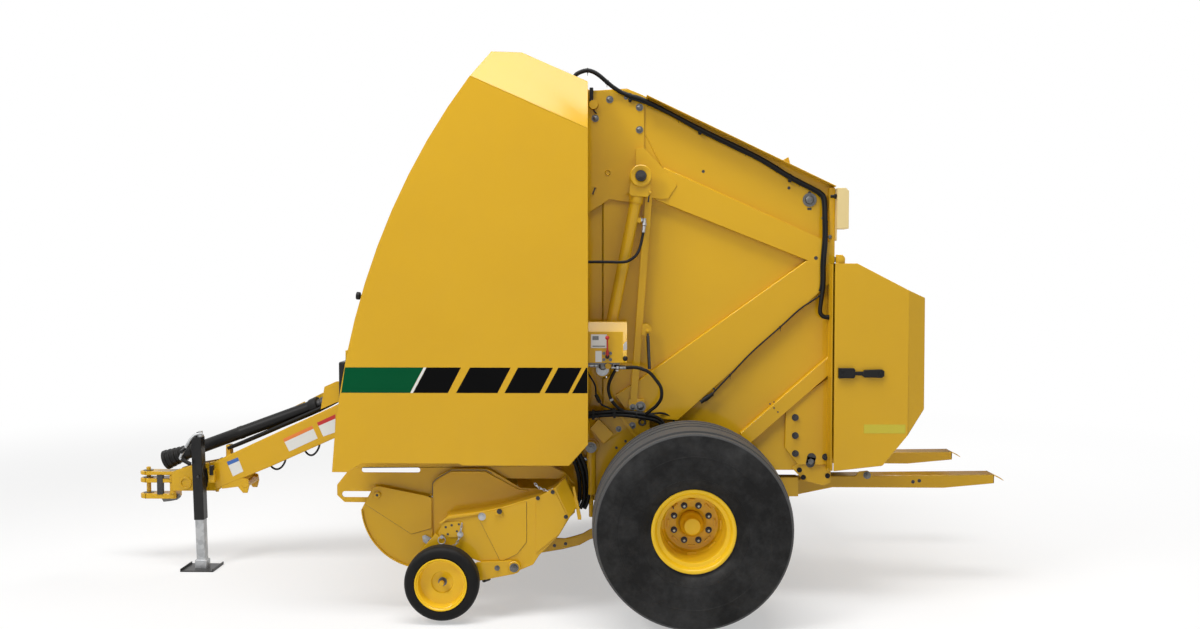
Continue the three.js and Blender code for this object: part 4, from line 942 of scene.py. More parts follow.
def buildCylinder(name, side):
    start, far = alongCylinder(side, 0), alongCylinder(side, cylinderLook["length"])
    r = cylinderLook["barrel"]
    bm = bmesh.new()
    addTurnedAlong(bm, [
        (0.0215, 0.08), (0.0215, 0.998), (0.036, 0.998), (0.039, 0.995), (0.04, 0.99), (0.04, 0.962),
        (0.039, 0.957), (0.0345, 0.955), (0.0345, 0.95), (r, 0.947), (r, 0.075), (0.0345, 0.072),
        (0.0345, 0.06), (0.03, 0.047), (0.018, 0.046), (0.018, 0.08)], start, far, 40)
    outward = Vector((0, side, 0))
    addTurned(bm, [(0.021, -0.022), (0.044, -0.022), (0.046, -0.02), (0.046, 0.02), (0.044, 0.022),
                   (0.021, 0.022)], start, steps=40)
    port = alongCylinder(side, 858)
    addBlock(bm, port + Vector((0.024, -0.014, -0.014)), port + Vector((0.05, 0.014, 0.014)))
    barrel = finishPiece(name + "_lift_barrel", bm, yellowPaint, name + "_cylinder",
                         bevel=0.0008)
    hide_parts(name + "_cylinder_barrel")
    bm = bmesh.new()
    r = cylinderLook["rod"]
    addTurnedAlong(bm, [(0, 0.11), (r, 0.11), (r, 1.07), (0, 1.07)], start, far, 32)
    rod = finishPiece(name + "_lift_rod", bm, chromedRod, name + "_cylinder_piston")
    bm = bmesh.new()
    addTurned(bm, [(0.0245, -0.026), (0.044, -0.026), (0.046, -0.024), (0.046, 0.024), (0.044, 0.026),
                   (0.0245, 0.026)], far, steps=40)
    addTurnedAlong(bm, [(0.0195, 1.0), (0.0215, 1.001), (0.0215, 1.022), (0.029, 1.03), (0.031, 1.06),
                        (0.0195, 1.06)], start, far, 28)
    head = finishPiece(name + "_lift_eye", bm, yellowPaint, name + "_cylinder_piston")
    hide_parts(name + "_cylinder_rod")
    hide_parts(name + "_cylinder_rod")
    bm = bmesh.new()
    pin = alongCylinder(side, 0, 22)
    addRod(bm, pin, pin + outward * 0.006, 0.036, 32)
    addBolt(bm, pin + outward * 0.028, outward, 0.042, washer=False)
    finishPiece(name + "_lift_foot_bolt", bm, zincSteel, "frame")


reflectorFilm = paint("reflectorFilm", {
    "colour": (0.56, 0.47, 0.005), "second": (0.52, 0.43, 0.005), "bare": (0.6, 0.6, 0.2), "edgeLight": 0,
    "dust": 0.1, "peel": 600, "bump": 0.3, "roughness": 0.2, "coat": 0.6})
for name, side in sides:
    for build in (buildGateBolts, buildGateHoles, buildGateEars, buildGateFlange, buildGatePin, buildLamp,
                  buildCylinder):
        build(name, side)
buildNetBox()
print("gate finished")


# latch links on the gate's front edge
latchLook = {"back": 861, "foot": 868, "ear": 876, "strut": 884}


def buildLatchLink(name, side):
    back, foot, ear, strut = latchLook["back"], latchLook["foot"], latchLook["ear"], latchLook["strut"]
    outward = Vector((0, side, 0))
    bm = bmesh.new()
    upper = [(-262, 1608), (-236, 1612), (-212, 1592), (-210, 1566), (-230, 1548), (-268, 1546)]
    addSidePlate(bm, upper, side, ear, back)
    lower = [(-342, 1118), (-330, 1100), (-258, 1104), (-250, 1120), (-252, 1160), (-268, 1170), (-340, 1158)]
    addSidePlate(bm, lower, side, foot, back)
    addDome(bm, sidePoint(side, -232, 1570, ear), outward, 0.012)
    finishPiece(name + "_latch_ears", bm, yellowPaint, "gate", bevel=0.0015)
    bm = bmesh.new()
    start, far = sidePoint(side, -232, 1556, strut), sidePoint(side, -222, 1352, strut)
    addTurnedAlong(bm, [(0, 0), (0.006, 0), (0.006, 0.012), (0.0092, 0.014), (0.0092, 0.2), (0, 0.2)], start,
                   far, 20)
    finishPiece(name + "_latch_strut", bm, darkSteel, "gate")
    bm = bmesh.new()
    addDome(bm, sidePoint(side, -316, 1136, foot), outward, 0.012)
    addDome(bm, sidePoint(side, -272, 1140, foot), outward, 0.02)
    finishPiece(name + "_latch_bolts", bm, greyBolt, "gate")


for name, side in sides:
    buildLatchLink(name, side)


# hoses, the harness and the valve block
hoseLook = {
    "harnessRadius": 0.0122,
    "loop": [(-646, -860, 2983.4), (-646, -860, 2998), (-634, -860, 3015), (-606, -860, 3029),
             (-572, -860, 3036), (-536, -860, 3026), (-504, -859, 3006), (-463, -852, 2972),
             (-430, -842, 2947), (-405, -832, 2931)],
    "run": [(-384, -828, 2920), (-333, -828, 2900), (-232, -828, 2865), (62, -822, 2714), (394, -816, 2553),
            (571, -816, 2446), (696, -818, 2381), (747, -824, 2350), (768, -832, 2311), (771, -846, 2200),
            (771, -852, 2085), (762, -852, 1960), (761, -852, 1836), (749, -852, 1745), (743, -852, 1684),
            (752, -852, 1660), (768, -852, 1650), (780, -852, 1648), (792.7, -852, 1648)],
    "second": [(-333, -829, 2886), (-232, -829, 2851), (-90, -823, 2784), (62, -822, 2699), (240, -819, 2612),
               (394, -817, 2538), (571, -817, 2431), (696, -818, 2366), (738, -824, 2338), (755, -832, 2303),
               (757, -846, 2200), (757, -852, 2085), (748, -852, 1960), (747, -852, 1836), (738, -852, 1795)],
    "branch": [(761, -852, 1800), (731, -852, 1763), (630, -854, 1695), (518, -854, 1592), (360, -854, 1450),
               (236, -854, 1319), (135, -850, 1210)],
    "ties": [(-233, -828, 2845), (-59, -824, 2764), (304, -818, 2590), (498, -816, 2482), (620, -817, 2410),
             (771, -846, 2190), (752, -852, 1790)],
    "cylinder": [(-269.7, -880, 2195.5), (-264, -880, 2195.5), (-257, -880, 2193.5), (-251, -882, 2184),
                 (-252, -886, 2165), (-258, -892, 2127), (-272, -905, 2060), (-294, -925, 2004),
                 (-333, -935, 1971), (-373, -938, 1959), (-467, -940, 1960), (-563, -940, 1960),
                 (-641, -940, 1960), (-700, -925, 1955), (-742, -880, 1946), (-752, -835, 1940),
                 (-752, -812, 1940), (-752, -788.3, 1940)],
    "outer": [(-425, -985, 1403.7), (-425, -985, 1396), (-425, -985, 1388), (-410, -985, 1374),
              (-350, -985, 1373), (-292, -985, 1372), (-228, -985, 1347), (-188, -980, 1303),
              (-160, -975, 1258), (-158, -965, 1202), (-182, -945, 1158), (-216, -915, 1124),
              (-245, -893, 1098)],
    "inner": [(-402, -960, 1403.7), (-402, -960, 1394), (-403, -960, 1384), (-410, -959, 1366),
              (-428, -955, 1331), (-448, -945, 1286), (-453, -935, 1241), (-442, -925, 1196),
              (-422, -915, 1162), (-394, -905, 1134), (-358, -897, 1112)],
    "supply": [(-640, -895, 1090), (-564, -897, 1096), (-445, -897, 1105), (-362, -897, 1104),
               (-275, -897, 1094), (-200, -884, 1078), (-165, -864, 1058), (-144, -857, 1036),
               (-138, -857, 1022)],
    "signal": [(-600, -905, 1390), (-580, -905, 1360), (-566, -904, 1329), (-530, -903, 1267),
               (-524, -902, 1211), (-510, -900, 1180), (-496, -899, 1160), (-479, -897, 1147),
               (-416, -895, 1121)],
    "tail": [(-268, -885, 1098), (-235, -878, 1101), (-201, -868, 1100), (-160, -852, 1101),
             (-128, -838, 1094), (-99, -832, 1078), (-80, -830, 1052), (-72, -830, 1010)],
    "pickupFeed": [(-660, -880, 880), (-630, -882, 858), (-598, -884, 846), (-566, -884, 836),
                   (-538, -884, 829)]}


def nearStep(points, place):
    # the spot on a hose's line nearest to a place, and the way that the hose runs there
    line = smoothLine([spot(*point) for point in points], 8)
    i = min(range(1, len(line) - 1), key=lambda k: (line[k] - place).length)
    return line[i], (line[i + 1] - line[i - 1]).normalized()


def addBand(bm, place, along, inner, outer, half, steps=24):
    # a flat ring round a hose
    addTurnedAlong(bm, [(inner, -half), (outer, -half), (outer, half), (inner, half)], place, place + along,
                   steps)


def addFerrule(bm, start, along, radius, length=0.045):
    # a crimped sleeve over a hose's end, with its hexagon and neck
    start, along = Vector(start), Vector(along).normalized()
    r = radius
    addTurnedAlong(bm, [(0, 0), (r * 0.8, 0), (r * 0.8, length * 0.12), (r * 1.28, length * 0.14),
                        (r * 1.28, length * 0.36), (r * 1.14, length * 0.4), (r * 1.28, length * 0.44),
                        (r * 1.28, length * 0.64), (r * 1.14, length * 0.68), (r * 1.28, length * 0.72),
                        (r * 1.25, length * 0.98), (r * 1.05, length), (0, length)], start, start + along, 20)
    addRod(bm, start - along * length * 0.3, start + along * length * 0.02, r * 1.5, 6)
    addRod(bm, start - along * length * 0.55, start - along * length * 0.28, r * 0.9, 14)


def addTie(bm, points, place, radius):
    # a cable tie drawn round the hose, with its head and cut tail
    middle, along = nearStep(points, spot(*place))
    r = radius
    addBand(bm, middle, along, r, r + 0.0022, 0.0028, 20)
    tail = Vector((0, -0.35, -1)).normalized()
    head, half = middle + tail * (r + 0.002), Vector((0.0035, 0.003, 0.003))
    addBlock(bm, head - half, head + half)
    addRod(bm, middle + tail * r, middle + tail * (r + 0.02), 0.0016, 6)


def buildHarness():
    look = hoseLook
    bm = bmesh.new()
    addHose(bm, look["loop"][:-1] + look["run"], look["harnessRadius"], steps=5)
    for place in ((-572, -858, 3036), (-463, -852, 2972)):
        addTie(bm, look["loop"], place, look["harnessRadius"])
    for place in look["ties"]:
        addTie(bm, look["run"], place, look["harnessRadius"])
    harness = finishPiece("harness_cable", bm, hoseRubber, None, smooth=60)
    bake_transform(harness)
    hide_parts("harness_loop", "gate_harness")
    bm = bmesh.new()
    addHose(bm, look["second"], 0.0055, sides=12)
    addHose(bm, look["branch"], 0.0048, sides=12)
    addRod(bm, spot(70, -852, 1163), spot(140, -852, 1213), 0.011, 12)        # plug where the branch ends
    addRod(bm, spot(88, -852, 1176), spot(120, -852, 1199), 0.0145, 8)
    addTie(bm, look["branch"], (236, -854, 1319), 0.0048)
    addTie(bm, look["branch"], (518, -854, 1592), 0.0048)
    addHose(bm, [(140, -852, 1213), (150, -846, 1228), (146, -838, 1240), (128, -826, 1236),
                 (112, -812, 1218)], 0.004, sides=10)
    addRod(bm, spot(780, -852, 1648), spot(806, -852, 1648), 0.014, 16)
    finishPiece("gate_cables", bm, hoseRubber, "gate", smooth=60)
    bm = bmesh.new()       # clips that hold the harness to the gate wall
    for x, y, z in ((-333, -828, 2900), (62, -822, 2714), (571, -816, 2446)):
        middle, along = nearStep(look["run"], spot(x, y, z))
        addBand(bm, middle, along, look["harnessRadius"], 0.014, 0.007)
        addBlock(bm, (middle.x - 0.008, -0.828, middle.z - 0.034),
                 (middle.x + 0.008, -0.8125, middle.z - 0.0115))
        addDome(bm, (middle.x, -0.828, middle.z - 0.024), (0, -1, 0), 0.007)
    finishPiece("harness_clips", bm, blackPlastic, "gate")


valveLook = {"low": (-700, 1404), "high": (-350, 1628), "front": 1050, "back": 935, "slope": (42, 54),
             "corner": 24, "plates": ((-548, 1486, -461, 1561), (-524, 1409, -489, 1470)),
             "bands": ((-540, 1493, -470, 1499), (-540, 1530, -506, 1552))}


def buildValve():
    look = valveLook
    low = spot(look["low"][0], -look["front"], look["low"][1])
    high = spot(look["high"][0], -look["back"], look["high"][1])
    bm = bmesh.new()
    addBlock(bm, low, high)
    bmesh.ops.bisect_plane(bm, geom=bm.verts[:] + bm.edges[:] + bm.faces[:], dist=1e-6, clear_outer=True,
                           plane_co=(0, low.y, high.z - look["slope"][1] / 1000),
                           plane_no=(0, -look["slope"][1], look["slope"][0]))
    bmesh.ops.bisect_plane(bm, geom=bm.verts[:] + bm.edges[:] + bm.faces[:], dist=1e-6, clear_outer=True,
                           plane_co=(high.x, low.y + look["corner"] / 1000, 0), plane_no=(1, -1, 0))
    bmesh.ops.holes_fill(bm, edges=bm.edges, sides=12)
    bmesh.ops.recalc_face_normals(bm, faces=bm.faces)
    addBlock(bm, spot(-690, -936, 1440), spot(-650, -788.3, 1480))
    box = finishPiece("valve_cover", bm, yellowPaint, "frame", smooth=20, bevel=0.0025)
    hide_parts("valve_box")


def buildValvePlates():
    look = valveLook
    front = look["front"] / 1000
    bm = bmesh.new()
    for plate in look["plates"]:
        decal(bm, rectangle(*plate), -1, front, 0.0008)
    slant = Matrix.Translation(spot(-361, -1037, 1500)) @ Matrix.Rotation(radians(45), 4, "Z")
    verts = addBlock(bm, (-0.0145, -0.001, -0.026), (0.0145, 0.0006, 0.026))
    bmesh.ops.transform(bm, matrix=slant, verts=verts)
    finishPiece("valve_plates", bm, labelWhite, "frame")
    bm = bmesh.new()
    for band in look["bands"]:
        decal(bm, rectangle(*band), -1, front + 0.0008, 0.0004)
    finishPiece("valve_plate_bands", bm, greyBolt, "frame")


def buildValveLever():
    bm = bmesh.new()       # lever, leaning out a little, with its ball
    addRod(bm, spot(-458, -1062, 1437), spot(-458, -1078, 1540), 0.0055, 14, 0.0045)
    addTurned(bm, [(0, -0.012), (0.007, -0.0097), (0.0112, -0.005), (0.012, 0), (0.0112, 0.005),
                   (0.007, 0.0097), (0, 0.012)], spot(-458, -1079, 1544), steps=24)
    addSlug(bm, spot(-458, -1064, 1452), (0, -1, 0), 0.05, 0.017, 0.006)
    finishPiece("valve_lever", bm, redPlastic, "frame", smooth=50)
    bm = bmesh.new()
    addRod(bm, spot(-458, -1049, 1439), spot(-458, -1068, 1439), 0.012, 20)
    addRod(bm, spot(-360, -1040, 1430), spot(-360, -1068, 1430), 0.006, 14)
    addTurned(bm, [(0, -0.014), (0.009, -0.011), (0.014, -0.004), (0.014, 0.004), (0.009, 0.011), (0, 0.014)],
              spot(-360, -1074, 1430), steps=24)
    finishPiece("valve_pivots", bm, blackPlastic, "frame", smooth=50)
    bm = bmesh.new()
    for x in (-477, -441):
        for z in (1457, 1422):
            addDome(bm, spot(x, -valveLook["front"], z), (0, -1, 0), 0.006)
    addTurned(bm, [(0, 0), (0.023, 0), (0.023, -0.006), (0.018, -0.016), (0.009, -0.019), (0, -0.019)],
              spot(-484, -990, 1382), steps=28)
    addBlock(bm, spot(-600, -1010, 1392), spot(-390, -960, 1404))
    finishPiece("valve_bolts", bm, greyBolt, "frame", smooth=40)
    bm = bmesh.new()
    addRod(bm, spot(-455, -1030, 1385), spot(-455, -1034, 1385), 0.016, 24)
    finishPiece("valve_tag", bm, yellowPaint, "frame")


def buildValveHoses():
    look = hoseLook
    bm = bmesh.new()
    addHose(bm, look["outer"], 0.0095)
    addHose(bm, look["inner"], 0.009)
    for rise in (-10, 10):
        addHose(bm, [(x, y, z + rise) for x, y, z in look["supply"]], 0.0105)
    for place in ((-500, -897, 1101), (-300, -897, 1098)):
        middle, along = nearStep(look["supply"], spot(*place))
        addBand(bm, middle, along, 0.0208, 0.0225, 0.003)
    valve = finishPiece("valve_hose_set", bm, hoseRubber, "frame", smooth=60)
    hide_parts("valve_hoses")


def buildFrameCables():
    look = hoseLook
    bm = bmesh.new()
    addHose(bm, look["signal"], 0.005, sides=10)
    addRod(bm, spot(-525, -902, 1212), spot(-503, -900, 1168), 0.0105, 12)
    addHose(bm, look["pickupFeed"], 0.008)
    addHose(bm, look["tail"], 0.0055, sides=12)
    for shift in (0, 26, 50):
        addHose(bm, [(-690 + shift, -900, 905), (-664 + shift, -900, 868), (-640 + shift, -898, 812),
                     (-622 + shift, -896, 745), (-616 + shift, -894, 670), (-620 + shift, -892, 610),
                     (-640 + shift, -885, 560)], 0.0115, sides=12)
    finishPiece("frame_cables", bm, hoseRubber, "frame", smooth=60)
    bm = bmesh.new()
    for x, z in ((-540, 1096), (-420, 1104)):       # double clamps on the frame's side
        addBlock(bm, spot(x - 8, -914, z - 26), spot(x + 8, -856.3, z + 26))
        addDome(bm, spot(x, -914, z), (0, -1, 0), 0.0065)
    finishPiece("supply_clamps", bm, blackPlastic, "frame", bevel=0.002)


def buildFrameFittings():
    bm = bmesh.new()
    addFerrule(bm, spot(-396, -985, 1374), (1, 0, 0), 0.0095, 0.04)
    addRod(bm, spot(-425, -985, 1404), spot(-425, -985, 1376), 0.0105, 6)
    addRod(bm, spot(-436, -985, 1374), spot(-404, -985, 1374), 0.0095, 14)
    addFerrule(bm, spot(-403, -960, 1384), (-0.12, 0, -1), 0.009, 0.034)
    addFerrule(bm, spot(-565, -985, 1385), (1, 0, 0), 0.0085, 0.075)
    addRod(bm, spot(-490, -985, 1385), spot(-484, -985, 1404), 0.009, 12)
    band, along = nearStep(hoseLook["inner"], spot(-436, -925, 1187))
    addBand(bm, band, along, 0.009, 0.0115, 0.006, 20)
    addFerrule(bm, spot(-598, -884, 846), (1, 0, -0.3), 0.0085, 0.05)
    finishPiece("frame_fittings", bm, zincSteel, "frame", smooth=30)


def buildCylinderHose():
    bm = bmesh.new()
    addHose(bm, hoseLook["cylinder"], 0.008)
    hose = finishPiece("cylinder_hose_run", bm, hoseRubber, None, smooth=60)
    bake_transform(hose)
    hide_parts("cylinder_hose")
    bm = bmesh.new()
    addRod(bm, spot(-290, -880, 2196), spot(-262, -880, 2196), 0.0105, 14)
    addRod(bm, spot(-274, -880, 2196), spot(-264, -880, 2196), 0.014, 6)
    addRod(bm, spot(-252, -881, 2204), spot(-252, -883, 2172), 0.0105, 14)
    addFerrule(bm, spot(-253, -886, 2166), (-0.14, -0.14, -1), 0.008, 0.042)
    finishPiece("cylinder_fitting", bm, zincSteel, "left_cylinder", smooth=30)


lowerLook = {"grommet": (-262, 1050), "holes": ((-357, 940, 8), (-409, 902, 8)), "rail": 829, "wall": 856.3}


def buildLowerFrame(name, side):
    look = lowerLook
    outward = Vector((0, side, 0))
    wall = look["wall"]
    bm = bmesh.new()
    strip = [(-1893, 798), (-1862, 868), (-1620, 868), (-1620, 806.5), (-1640, 806.5), (-1880, 806.5)]
    addSidePlate(bm, strip, side, 960.2, 968.2)
    addSidePlate(bm, rectangle(-398, 1106, -236, 1113), side, wall - 8, wall + 14)
    brace = [(-398, 1086), (-378, 1086), (-286, 968), (-302, 958)]
    addSidePlate(bm, brace, side, wall, wall + 9)
    finishPiece(name + "_frame_ledge", bm, yellowPaint, "frame", bevel=0.0015)
    bm = bmesh.new()
    x, z = look["grommet"]
    addTurned(bm, [(0.011, 0), (0.0125, side * 0.009), (0.018, side * 0.011), (0.022, side * 0.007),
                   (0.023, 0)], sidePoint(side, x, z, wall + 0.3), steps=32)
    # dark discs at the holes in the wall and the rail: painted shade inside them
    for x, z, size in look["holes"]:
        addRod(bm, sidePoint(side, x, z, wall - 1), sidePoint(side, x, z, wall + 0.7), size / 1000, 20)
    for x, z in ((-765, 330), (-701, 341)):
        addRod(bm, sidePoint(side, x, z, look["rail"] - 1), sidePoint(side, x, z, look["rail"] + 0.7), 0.01,
               20)
    finishPiece(name + "_frame_grommet_and_hole_shade", bm, darkSteel, "frame", smooth=50)
    bm = bmesh.new()
    addBolt(bm, sidePoint(side, -552, 912, 907), outward, 0.038)
    addDome(bm, sidePoint(side, -396, 1010, wall), outward, 0.011)
    addDome(bm, sidePoint(side, -318, 1030, wall), outward, 0.013)
    finishPiece(name + "_frame_bolts", bm, greyBolt, "frame", smooth=40)


buildHarness()
buildValve()
buildValvePlates()
buildValveLever()
buildValveHoses()
buildFrameCables()
buildFrameFittings()
buildCylinderHose()
for name, side in sides:
    buildLowerFrame(name, side)
print("hoses finished")


# pickup
pickupLook = {"cover": 1118, "shieldFace": 1000, "plateFace": 993, "armFace": 1130.3,
              "rimCentre": (-1480, 600),
              "rimRadius": 358, "rimWidth": 7, "endLine": ((-742, 726), (-664, 560)), "endLean": 0.034}


def addStrip(bm, points, side, face, width, lift):
    # a narrow raised line that follows flat points on a face across the machine
    for start, end in zip(points, points[1:]):
        run = Vector((end[0] - start[0], end[1] - start[1])).normalized()
        across = Vector((-run.y, run.x)) * width / 2
        corners = [(start[0] + across.x, start[1] + across.y), (end[0] + across.x, end[1] + across.y),
                   (end[0] - across.x, end[1] - across.y), (start[0] - across.x, start[1] - across.y)]
        addSidePlate(bm, corners, side, face - 0.5, face + lift)


def addChain(bm, points, size, wire):
    # links of one size, every other one turned a quarter
    line = smoothLine([spot(*point) for point in points], 24)
    travelled, previous, k = 0, line[0], 0
    for place in line[1:]:
        travelled += (place - previous).length
        if travelled > size * 1.5:
            along = (place - previous).normalized()
            turn = along.to_track_quat("X", "Z").to_matrix().to_4x4() @ Matrix.Rotation(k * pi / 2, 4, "X")
            ring = [(size + wire * cos(a), wire * sin(a)) for a in (i * pi / 3 for i in range(6))]
            verts = addTurned(bm, ring, (0, 0, 0), steps=12)
            bmesh.ops.scale(bm, vec=(1, 1, 0.62), verts=verts)
            bmesh.ops.transform(bm, matrix=Matrix.Translation(place) @ turn, verts=verts)
            travelled, k = 0, k + 1
        previous = place


def buildDriveCover():
    look = pickupLook
    bm = nodeMesh("pickup_drive_cover")
    (topX, topZ), (lowX, lowZ) = look["endLine"]
    start, normal = spot(topX, 0, topZ), Vector((topZ - lowZ, 0, lowX - topX)).normalized()
    bmesh.ops.bisect_plane(bm, geom=bm.verts[:] + bm.edges[:] + bm.faces[:], dist=1e-5, plane_co=start,
                           plane_no=normal)
    for vert in bm.verts:      # the rear end leans in behind the bend
        reach = (vert.co - start).dot(normal)
        if reach > 0.004 and vert.co.y < -look["cover"] / 1000 + 0.001:
            vert.co.y += look["endLean"]
    cover = finishPiece("drive_cover_panel", bm, yellowPaint, "pickup", smooth=12,
                        bevel=0.004)
    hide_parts("pickup_drive_cover")


def buildCoverFolds():
    face = pickupLook["cover"] / 1000
    bm = bmesh.new()
    for outline, lift in (
            ([(-1157, 545), (-1046, 324), (-1030, 321), (-953, 358), (-900, 425), (-900, 648), (-1047, 603),
              (-1143, 585)], 0.004),
            ([(-848, 364), (-722, 470), (-672, 560), (-748, 716), (-848, 672)], 0.005),
            ([(-1380, 532), (-1352, 549), (-1331, 566), (-1268, 573), (-1160, 589), (-1160, 579),
              (-1268, 561), (-1328, 553), (-1372, 520)], 0.012)):
        addPlate(bm, flat(outline), -face + 0.0005, -face - lift)
    tab = [(-1073, 598), (-1029, 588), (-1029, 566), (-1073, 574)]
    addPlate(bm, flat(tab), -face, -face - 0.012)
    finishPiece("drive_cover_folds", bm, yellowPaint, "pickup", bevel=0.0015)
    bm = bmesh.new()
    bracket = [(-1370, 533), (-1262, 538), (-1249, 524), (-1249, 456), (-1318, 448), (-1374, 470)]
    addPlate(bm, flat(bracket), -face - 0.0005, -face - 0.006)
    hooks = [(-650, 724), (-637, 724), (-601, 560), (-601, 542), (-620, 542)]
    addPlate(bm, flat(hooks), -face + 0.03, -face + 0.036)
    finishPiece("pickup_bracket", bm, yellowPaint, "pickup", bevel=0.0015)


def buildCoverFittings():
    look = pickupLook
    bm = bmesh.new()
    # dark discs at the holes: painted shade inside them
    for x, z, size in ((-1343, 506, 7), (-1310, 517, 7), (-1271, 522, 6), (-1332, 467, 7), (-1282, 484, 6)):
        addRod(bm, spot(x, -look["cover"] - 5, z), spot(x, -look["cover"] - 6.6, z), size / 1000, 16)
    addBolt(bm, spot(-1047, -look["cover"] - 12, 596), (0, -1, 0), 0.018)
    for x, z in ((-837, 668), (-756, 702), (-684, 566)):
        addBolt(bm, spot(x, -look["cover"] - 4, z), (0, -1, 0), 0.014)
    # a dark line along the raised fold's edge: the seam, with painted shadow along it
    addStrip(bm, [(-1157, 545), (-1046, 324), (-1030, 321), (-953, 358), (-900, 425), (-900, 648)], -1,
             look["cover"], 3, 0.8)
    finishPiece("drive_cover_bolts_and_shade", bm, darkSteel, "pickup", smooth=40)
    bm = bmesh.new()
    addBolt(bm, spot(-1144, -look["cover"] - 2, 565), (0, -1, 0), 0.026)
    addBolt(bm, spot(-1263, -look["cover"] - 6, 467), (0, -1, 0), 0.02)
    addRod(bm, spot(-1363, -1112, 455), spot(-1363, -1142, 455), 0.009, 18)
    addTurned(bm, [(0.02 + 0.0022 * cos(a), 0.0022 * sin(a)) for a in (i * pi / 4 for i in range(8))],
              spot(-1363, -1139, 437), steps=28)
    addChain(bm, [(-1363, -1139, 420), (-1340, -1139, 408), (-1316, -1139, 404), (-1288, -1138, 414),
                  (-1268, -1134, 450), (-1260, -1130, 490), (-1254, -1126, 528)], 0.0088, 0.0028)
    addChain(bm, [(-858, -1115, 753), (-835, -1112, 726), (-806, -1106, 712), (-778, -1100, 704),
                  (-754, -1100, 720)], 0.0092, 0.003)
    finishPiece("pickup_chains", bm, zincSteel, "pickup", smooth=50)


def buildShield(name, side):
    look = pickupLook
    outward = Vector((0, side, 0))
    shield = look["shieldFace"]
    cx, cz = look["rimCentre"]
    bm = bmesh.new()
    arc = [radians(184 + 84 * i / 24) for i in range(25)]
    outer, inner = look["rimRadius"], look["rimRadius"] - look["rimWidth"]
    lip = [(cx + outer * cos(a), cz + outer * sin(a)) for a in arc]
    lip += [(cx + inner * cos(a), cz + inner * sin(a)) for a in reversed(arc)]
    addSidePlate(bm, lip, side, shield - 1, shield + 11)
    upper = [(-1768, 702), (-1737, 706), (-1473, 654), (-1442, 640), (-1442, 470), (-1557, 437), (-1817, 606)]
    addSidePlate(bm, upper, side, shield - 0.5, shield + 4)
    addTurned(bm, [(0, 0), (0.02, 0), (0.02, side * 0.008), (0.016, side * 0.012), (0, side * 0.012)],
              sidePoint(side, -1745, 658, look["shieldFace"] + 4), steps=28)
    finishPiece(name + "_shield_folds", bm, yellowPaint, "pickup", smooth=20, bevel=0.0015)
    bm = bmesh.new()
    lug = [(-1495, 425), (-1478, 433), (-1414, 400), (-1404, 380), (-1408, 352), (-1436, 356), (-1490, 396)]
    addSidePlate(bm, lug, side, shield + 3, shield + 9)
    finishPiece(name + "_shield_lug", bm, zincSteel, "pickup", bevel=0.001)
    bm = bmesh.new()
    # dark discs on the lug and the cap: painted shade inside their holes
    addRod(bm, sidePoint(side, -1453, 397, 1008), sidePoint(side, -1453, 397, 1010), 0.009, 20)
    addRod(bm, sidePoint(side, -1745, 658, 1014), sidePoint(side, -1745, 658, 1017), 0.0075, 16)
    # dark lines along the plates' edges: seams, with painted shadow along them
    addStrip(bm, [(-1437, 640), (-1437, 722), (-1418, 745), (-1333, 797), (-1141, 798), (-1105, 780)], side,
             look["plateFace"], 4, 0.8)
    addStrip(bm, [(-1817, 606), (-1557, 437), (-1442, 470)], side, look["shieldFace"] + 1, 3, 0.6)
    # a dark slot on the arm: painted shade in the slot
    addSlug(bm, sidePoint(side, -1120, 218, look["armFace"]), outward, 0.05, 0.02, 0.0012, radians(70))
    finishPiece(name + "_shield_painted_shade", bm, darkSteel, "pickup", smooth=40)


def buildGaugeArm(name, side):
    look = pickupLook
    outward = Vector((0, side, 0))
    bm = bmesh.new()
    ledge = [(-1437, 712), (-1418, 737), (-1333, 790), (-1141, 791), (-955, 690), (-903, 686), (-903, 678),
             (-957, 681), (-1143, 781), (-1331, 780), (-1410, 731), (-1429, 708)]
    addSidePlate(bm, ledge, side, look["plateFace"] - 0.5, look["plateFace"] + 9)
    arm = [(-1174, 317), (-985, 325), (-953, 312), (-953, 268), (-975, 250), (-1155, 214)]
    addSidePlate(bm, arm, side, look["armFace"] - 0.5, look["armFace"] + 6)
    addTurned(bm, [(0, 0), (0.034, 0), (0.034, side * 0.008), (0.03, side * 0.011), (0, side * 0.011)],
              sidePoint(side, -966, 290, look["armFace"] + 6), steps=32)
    finishPiece(name + "_gauge_arm_cap", bm, yellowPaint, "pickup", smooth=20, bevel=0.0015)
    bm = bmesh.new()
    addBolt(bm, sidePoint(side, -966, 290, look["armFace"] + 17), outward, 0.03)
    addBolt(bm, sidePoint(side, -1060, 285, look["armFace"] + 6), outward, 0.018)
    finishPiece(name + "_gauge_arm_bolt", bm, greyBolt, "pickup", smooth=40)


reelLook = {"centre": (-1500, 447), "bar": 110, "tip": 200, "wire": 0.0031, "gaps": (104, 312, 520, 728),
            "apart": 9}


def buildTines():
    look = reelLook
    bm = bmesh.new()
    for k in range(4):
        angle = pi / 4 + k * pi / 2
        for y in [side * gap for gap in look["gaps"] for side in (-1, 1)]:
            for shift in (-look["apart"], look["apart"]):
                points = []
                for reach, bend in ((look["bar"], 0.06), (140, 0.045), (172, 0.0), (look["tip"], -0.14)):
                    points.append((look["centre"][0] + reach * cos(angle + bend), y + shift,
                                   look["centre"][1] + reach * sin(angle + bend)))
                addHose(bm, points, look["wire"], sides=6, steps=2)
            middle = spot(look["centre"][0] + look["bar"] * cos(angle), y,
                          look["centre"][1] + look["bar"] * sin(angle))
            addTurned(bm, [(0.0145, -0.014), (0.019, -0.012), (0.0205, 0), (0.019, 0.012), (0.0145, 0.014)],
                      middle, steps=16)
    finishPiece("pickup_tines", bm, darkSteel, "reel", smooth=60)


